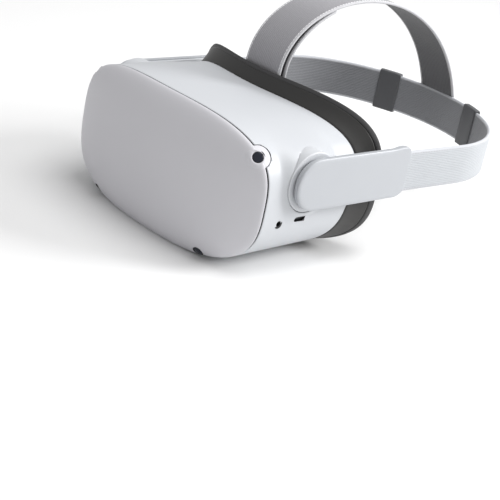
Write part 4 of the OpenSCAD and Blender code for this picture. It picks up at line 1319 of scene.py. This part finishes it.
def face_line(y, inset, bow):
    """Open line round the face piece, from one side of the nose to the other."""
    a, b = FACE_HALF_W - inset, FACE_HALF_H - inset
    angles = even_angles(400, a, b, FACE_POWER)
    angles = np.sort((angles + math.pi / 2) % (2 * math.pi)) - math.pi / 2
    x, z = outline(angles, a, b, FACE_POWER)
    low = np.where(z < 0, z * (b + BASE_CUT) / b, z)
    points = np.stack([x, RIDGE_Y + y + bow * (x / a) ** 2 + FACE_TILT * z,
                       np.maximum(FACE_ZC + low, FACE_LOW + inset)], 1)
    clear = (np.abs(points[:, 0]) > NOSE_HALF_W) | (points[:, 2] > FACE_ZC)
    return points[clear]


END_SHARES = [0.0, 0.45, 0.75, 0.93]


def face_band(name, section, material, round_ends=False):
    """Closed band whose section is given as (depth, inset, bow) of its lines, in mm."""
    count = len(face_line(0, 0, RIDGE_BOW))
    rows = []
    for depth, inset, bow in section:
        line = face_line(depth * MM, inset * MM, bow * MM)
        run = np.concatenate([[0], np.cumsum(np.linalg.norm(np.diff(line, axis=0), axis=1))])
        where = np.linspace(0, run[-1], count)
        rows.append(np.stack([np.interp(where, run, line[:, c]) for c in range(3)], 1))
    columns = np.array(rows).transpose(1, 0, 2)
    if round_ends:
        for step, share in enumerate(END_SHARES):
            scale = 0.12 + 0.88 * math.sqrt(1 - (1 - share) ** 2)
            for k in (step, count - 1 - step):
                middle = columns[k].mean(0)
                columns[k] = middle + (columns[k] - middle) * scale
    return skin(name, list(columns), material, ends=(True, True))


def foam_finish():
    finish = Finish("face_foam", 0.95, Sheen_Weight=0.3, Sheen_Roughness=0.6)
    pores = finish.node("TexVoronoi", None, {"Vector": finish.place(), "Scale": 900.0}, out="Distance")
    cells = finish.noise(420, 4)
    slow = finish.noise(35, 3)
    finish.feed("Base Color", finish.blend((0.014, 0.014, 0.016), (0.060, 0.058, 0.060),
                                           pores * 0.5 + cells * 0.4 + slow * 0.25))
    finish.feed("Roughness", 0.88 + cells * 0.1)
    finish.bump(pores * 0.7 + cells * 0.6, 0.8, 0.35 * MM)
    return finish.material


FOAM = foam_finish()
FRAME_PLASTIC = moulded("face_frame_black", (0.018, 0.018, 0.02), 0.5, grain=0.5)
FRAME_OUT = [(-16, 4, 27), (-12, 2.4, 29), (-8, 1.2, 31), (-5, 0.5, 33.5), (-3, 0, 35.65), (-0.4, 0, 35.65),
             (0, 0.4, 35.65)]
FRAME_IN = [(0, 4.5, 35.65), (-4, 3.9, 33.5), (-8, 3.2, 31), (-12, 4.4, 29), (-16, 6, 27)]
face_frame = face_band("face_piece_frame", FRAME_OUT + FRAME_IN, FRAME_PLASTIC)
settle(face_frame, "face_piece", "frame_black", "face_frame")
FOAM_SECTION = [(0, 0.5), (0.5, 0.1), (2, 0), (6, 0.15), (8.6, 0.7), (10.2, 1.5), (11.2, 2.4), (11.8, 3.4),
                (12.0, 4.5), (11.8, 5.8), (11.2, 7.0), (10, 8.1), (8.2, 8.8), (5, 9), (1, 9), (0, 8.6)]
foam = face_band("face_foam_ring", [(depth, inset, 35.65) for depth, inset in FOAM_SECTION], FOAM, True)
settle(foam, "face_piece", "foam_black", "foam_cushion")

# %% [markdown]
# ## Lenses
# A moulded headset lens has concentric steps on one side. A bump map of rings would do from far away, but
# they are turned here as real grooves on a shallow dome, so the rings catch the light as they do on the
# real one.

# %% Lenses
LENS_X = 31.5 * MM
LENS_Y = -78.8 * MM
LENS_Z = MID_Z + 1 * MM
LENS_R = 20.5
LENS_CROWN = 2.6
STEP_COUNT, STEP_START, STEP_PITCH, STEP_W = 26, 1.2, 0.74, 0.66


def lens_finish():
    finish = Finish("stepped_lens", 0.06, IOR=1.49, Coat_Weight=0.6, Coat_Roughness=0.03)
    haze = finish.noise(60, 2)
    finish.feed("Base Color", finish.blend((0.030, 0.034, 0.042), (0.060, 0.066, 0.078), haze))
    finish.feed("Roughness", 0.05 + haze * 0.08)
    return finish.material


LENS = lens_finish()
profile = []
for i in range(STEP_COUNT):
    r = STEP_START + i * STEP_PITCH
    dome_h = LENS_CROWN * (1 - (r / LENS_R) ** 2)
    profile += [(dome_h - 0.10, r), (dome_h + 0.05, r + STEP_W)]
profile += [(0.1, 20.45), (-2.2, 20.45), (-4.6, 12), (-5.0, 1)]
turns = np.arange(128) / 128 * 2 * math.pi
for side, name in SIDES:
    rows = [np.stack([side * LENS_X + r * MM * np.cos(turns), np.full(len(turns), LENS_Y + h * MM),
                      LENS_Z + r * MM * np.sin(turns)], 1) for h, r in profile]
    lens = skin("stepped_lens_" + name, rows, LENS, ends=(True, True))
    settle(lens, "lens_" + name, "lens_clear", "lens_" + name)

# %% [markdown]
# ## Button and volume key
# The power button is a turned cap with a dished top, which a fingertip finds by feel. The volume key is
# one rounded bar. Both could stay as their CAD solids, but a soft edge is what makes a small part look
# moulded.

# %% Power button
BUTTON_TOP, BUTTON_R, BUTTON_ROUND = -88.9, 5.0, 0.4
profile = [(-86.0, 0.6), (-86.0, BUTTON_R), (BUTTON_TOP + BUTTON_ROUND, BUTTON_R)]
profile += [(BUTTON_TOP + BUTTON_ROUND * (1 - math.sin(t)), BUTTON_R - BUTTON_ROUND * (1 - math.cos(t)))
            for t in np.radians((20, 45, 70, 90))]
profile += [(-88.86, 3.6), (-88.72, 2.2), (-88.66, 0.8)]
rows = turned_about_x([(x * MM, r * MM) for x, r in profile], POWER, 64)
button = skin("power_cap", rows, SHELL_WHITE, ends=(True, True))
settle(button, "power_button", "shell_white", "power_button")

# %% Volume rocker
KEY_EDGE = [(0, 3.2), (0, 1.3), (0.15, 1.05), (0.5, 0.85), (1.6, 0.8)]
rows = [[(ROCKER.x + u * MM, ROCKER.y + v * MM, z * MM) for u, v in stadium(9.5, 2.5 - inset, 13)]
        for inset, z in KEY_EDGE]
rocker = skin("volume_key", rows, SHELL_WHITE, ends=(True, True))
settle(rocker, "volume_rocker", "shell_white", "volume_rocker")
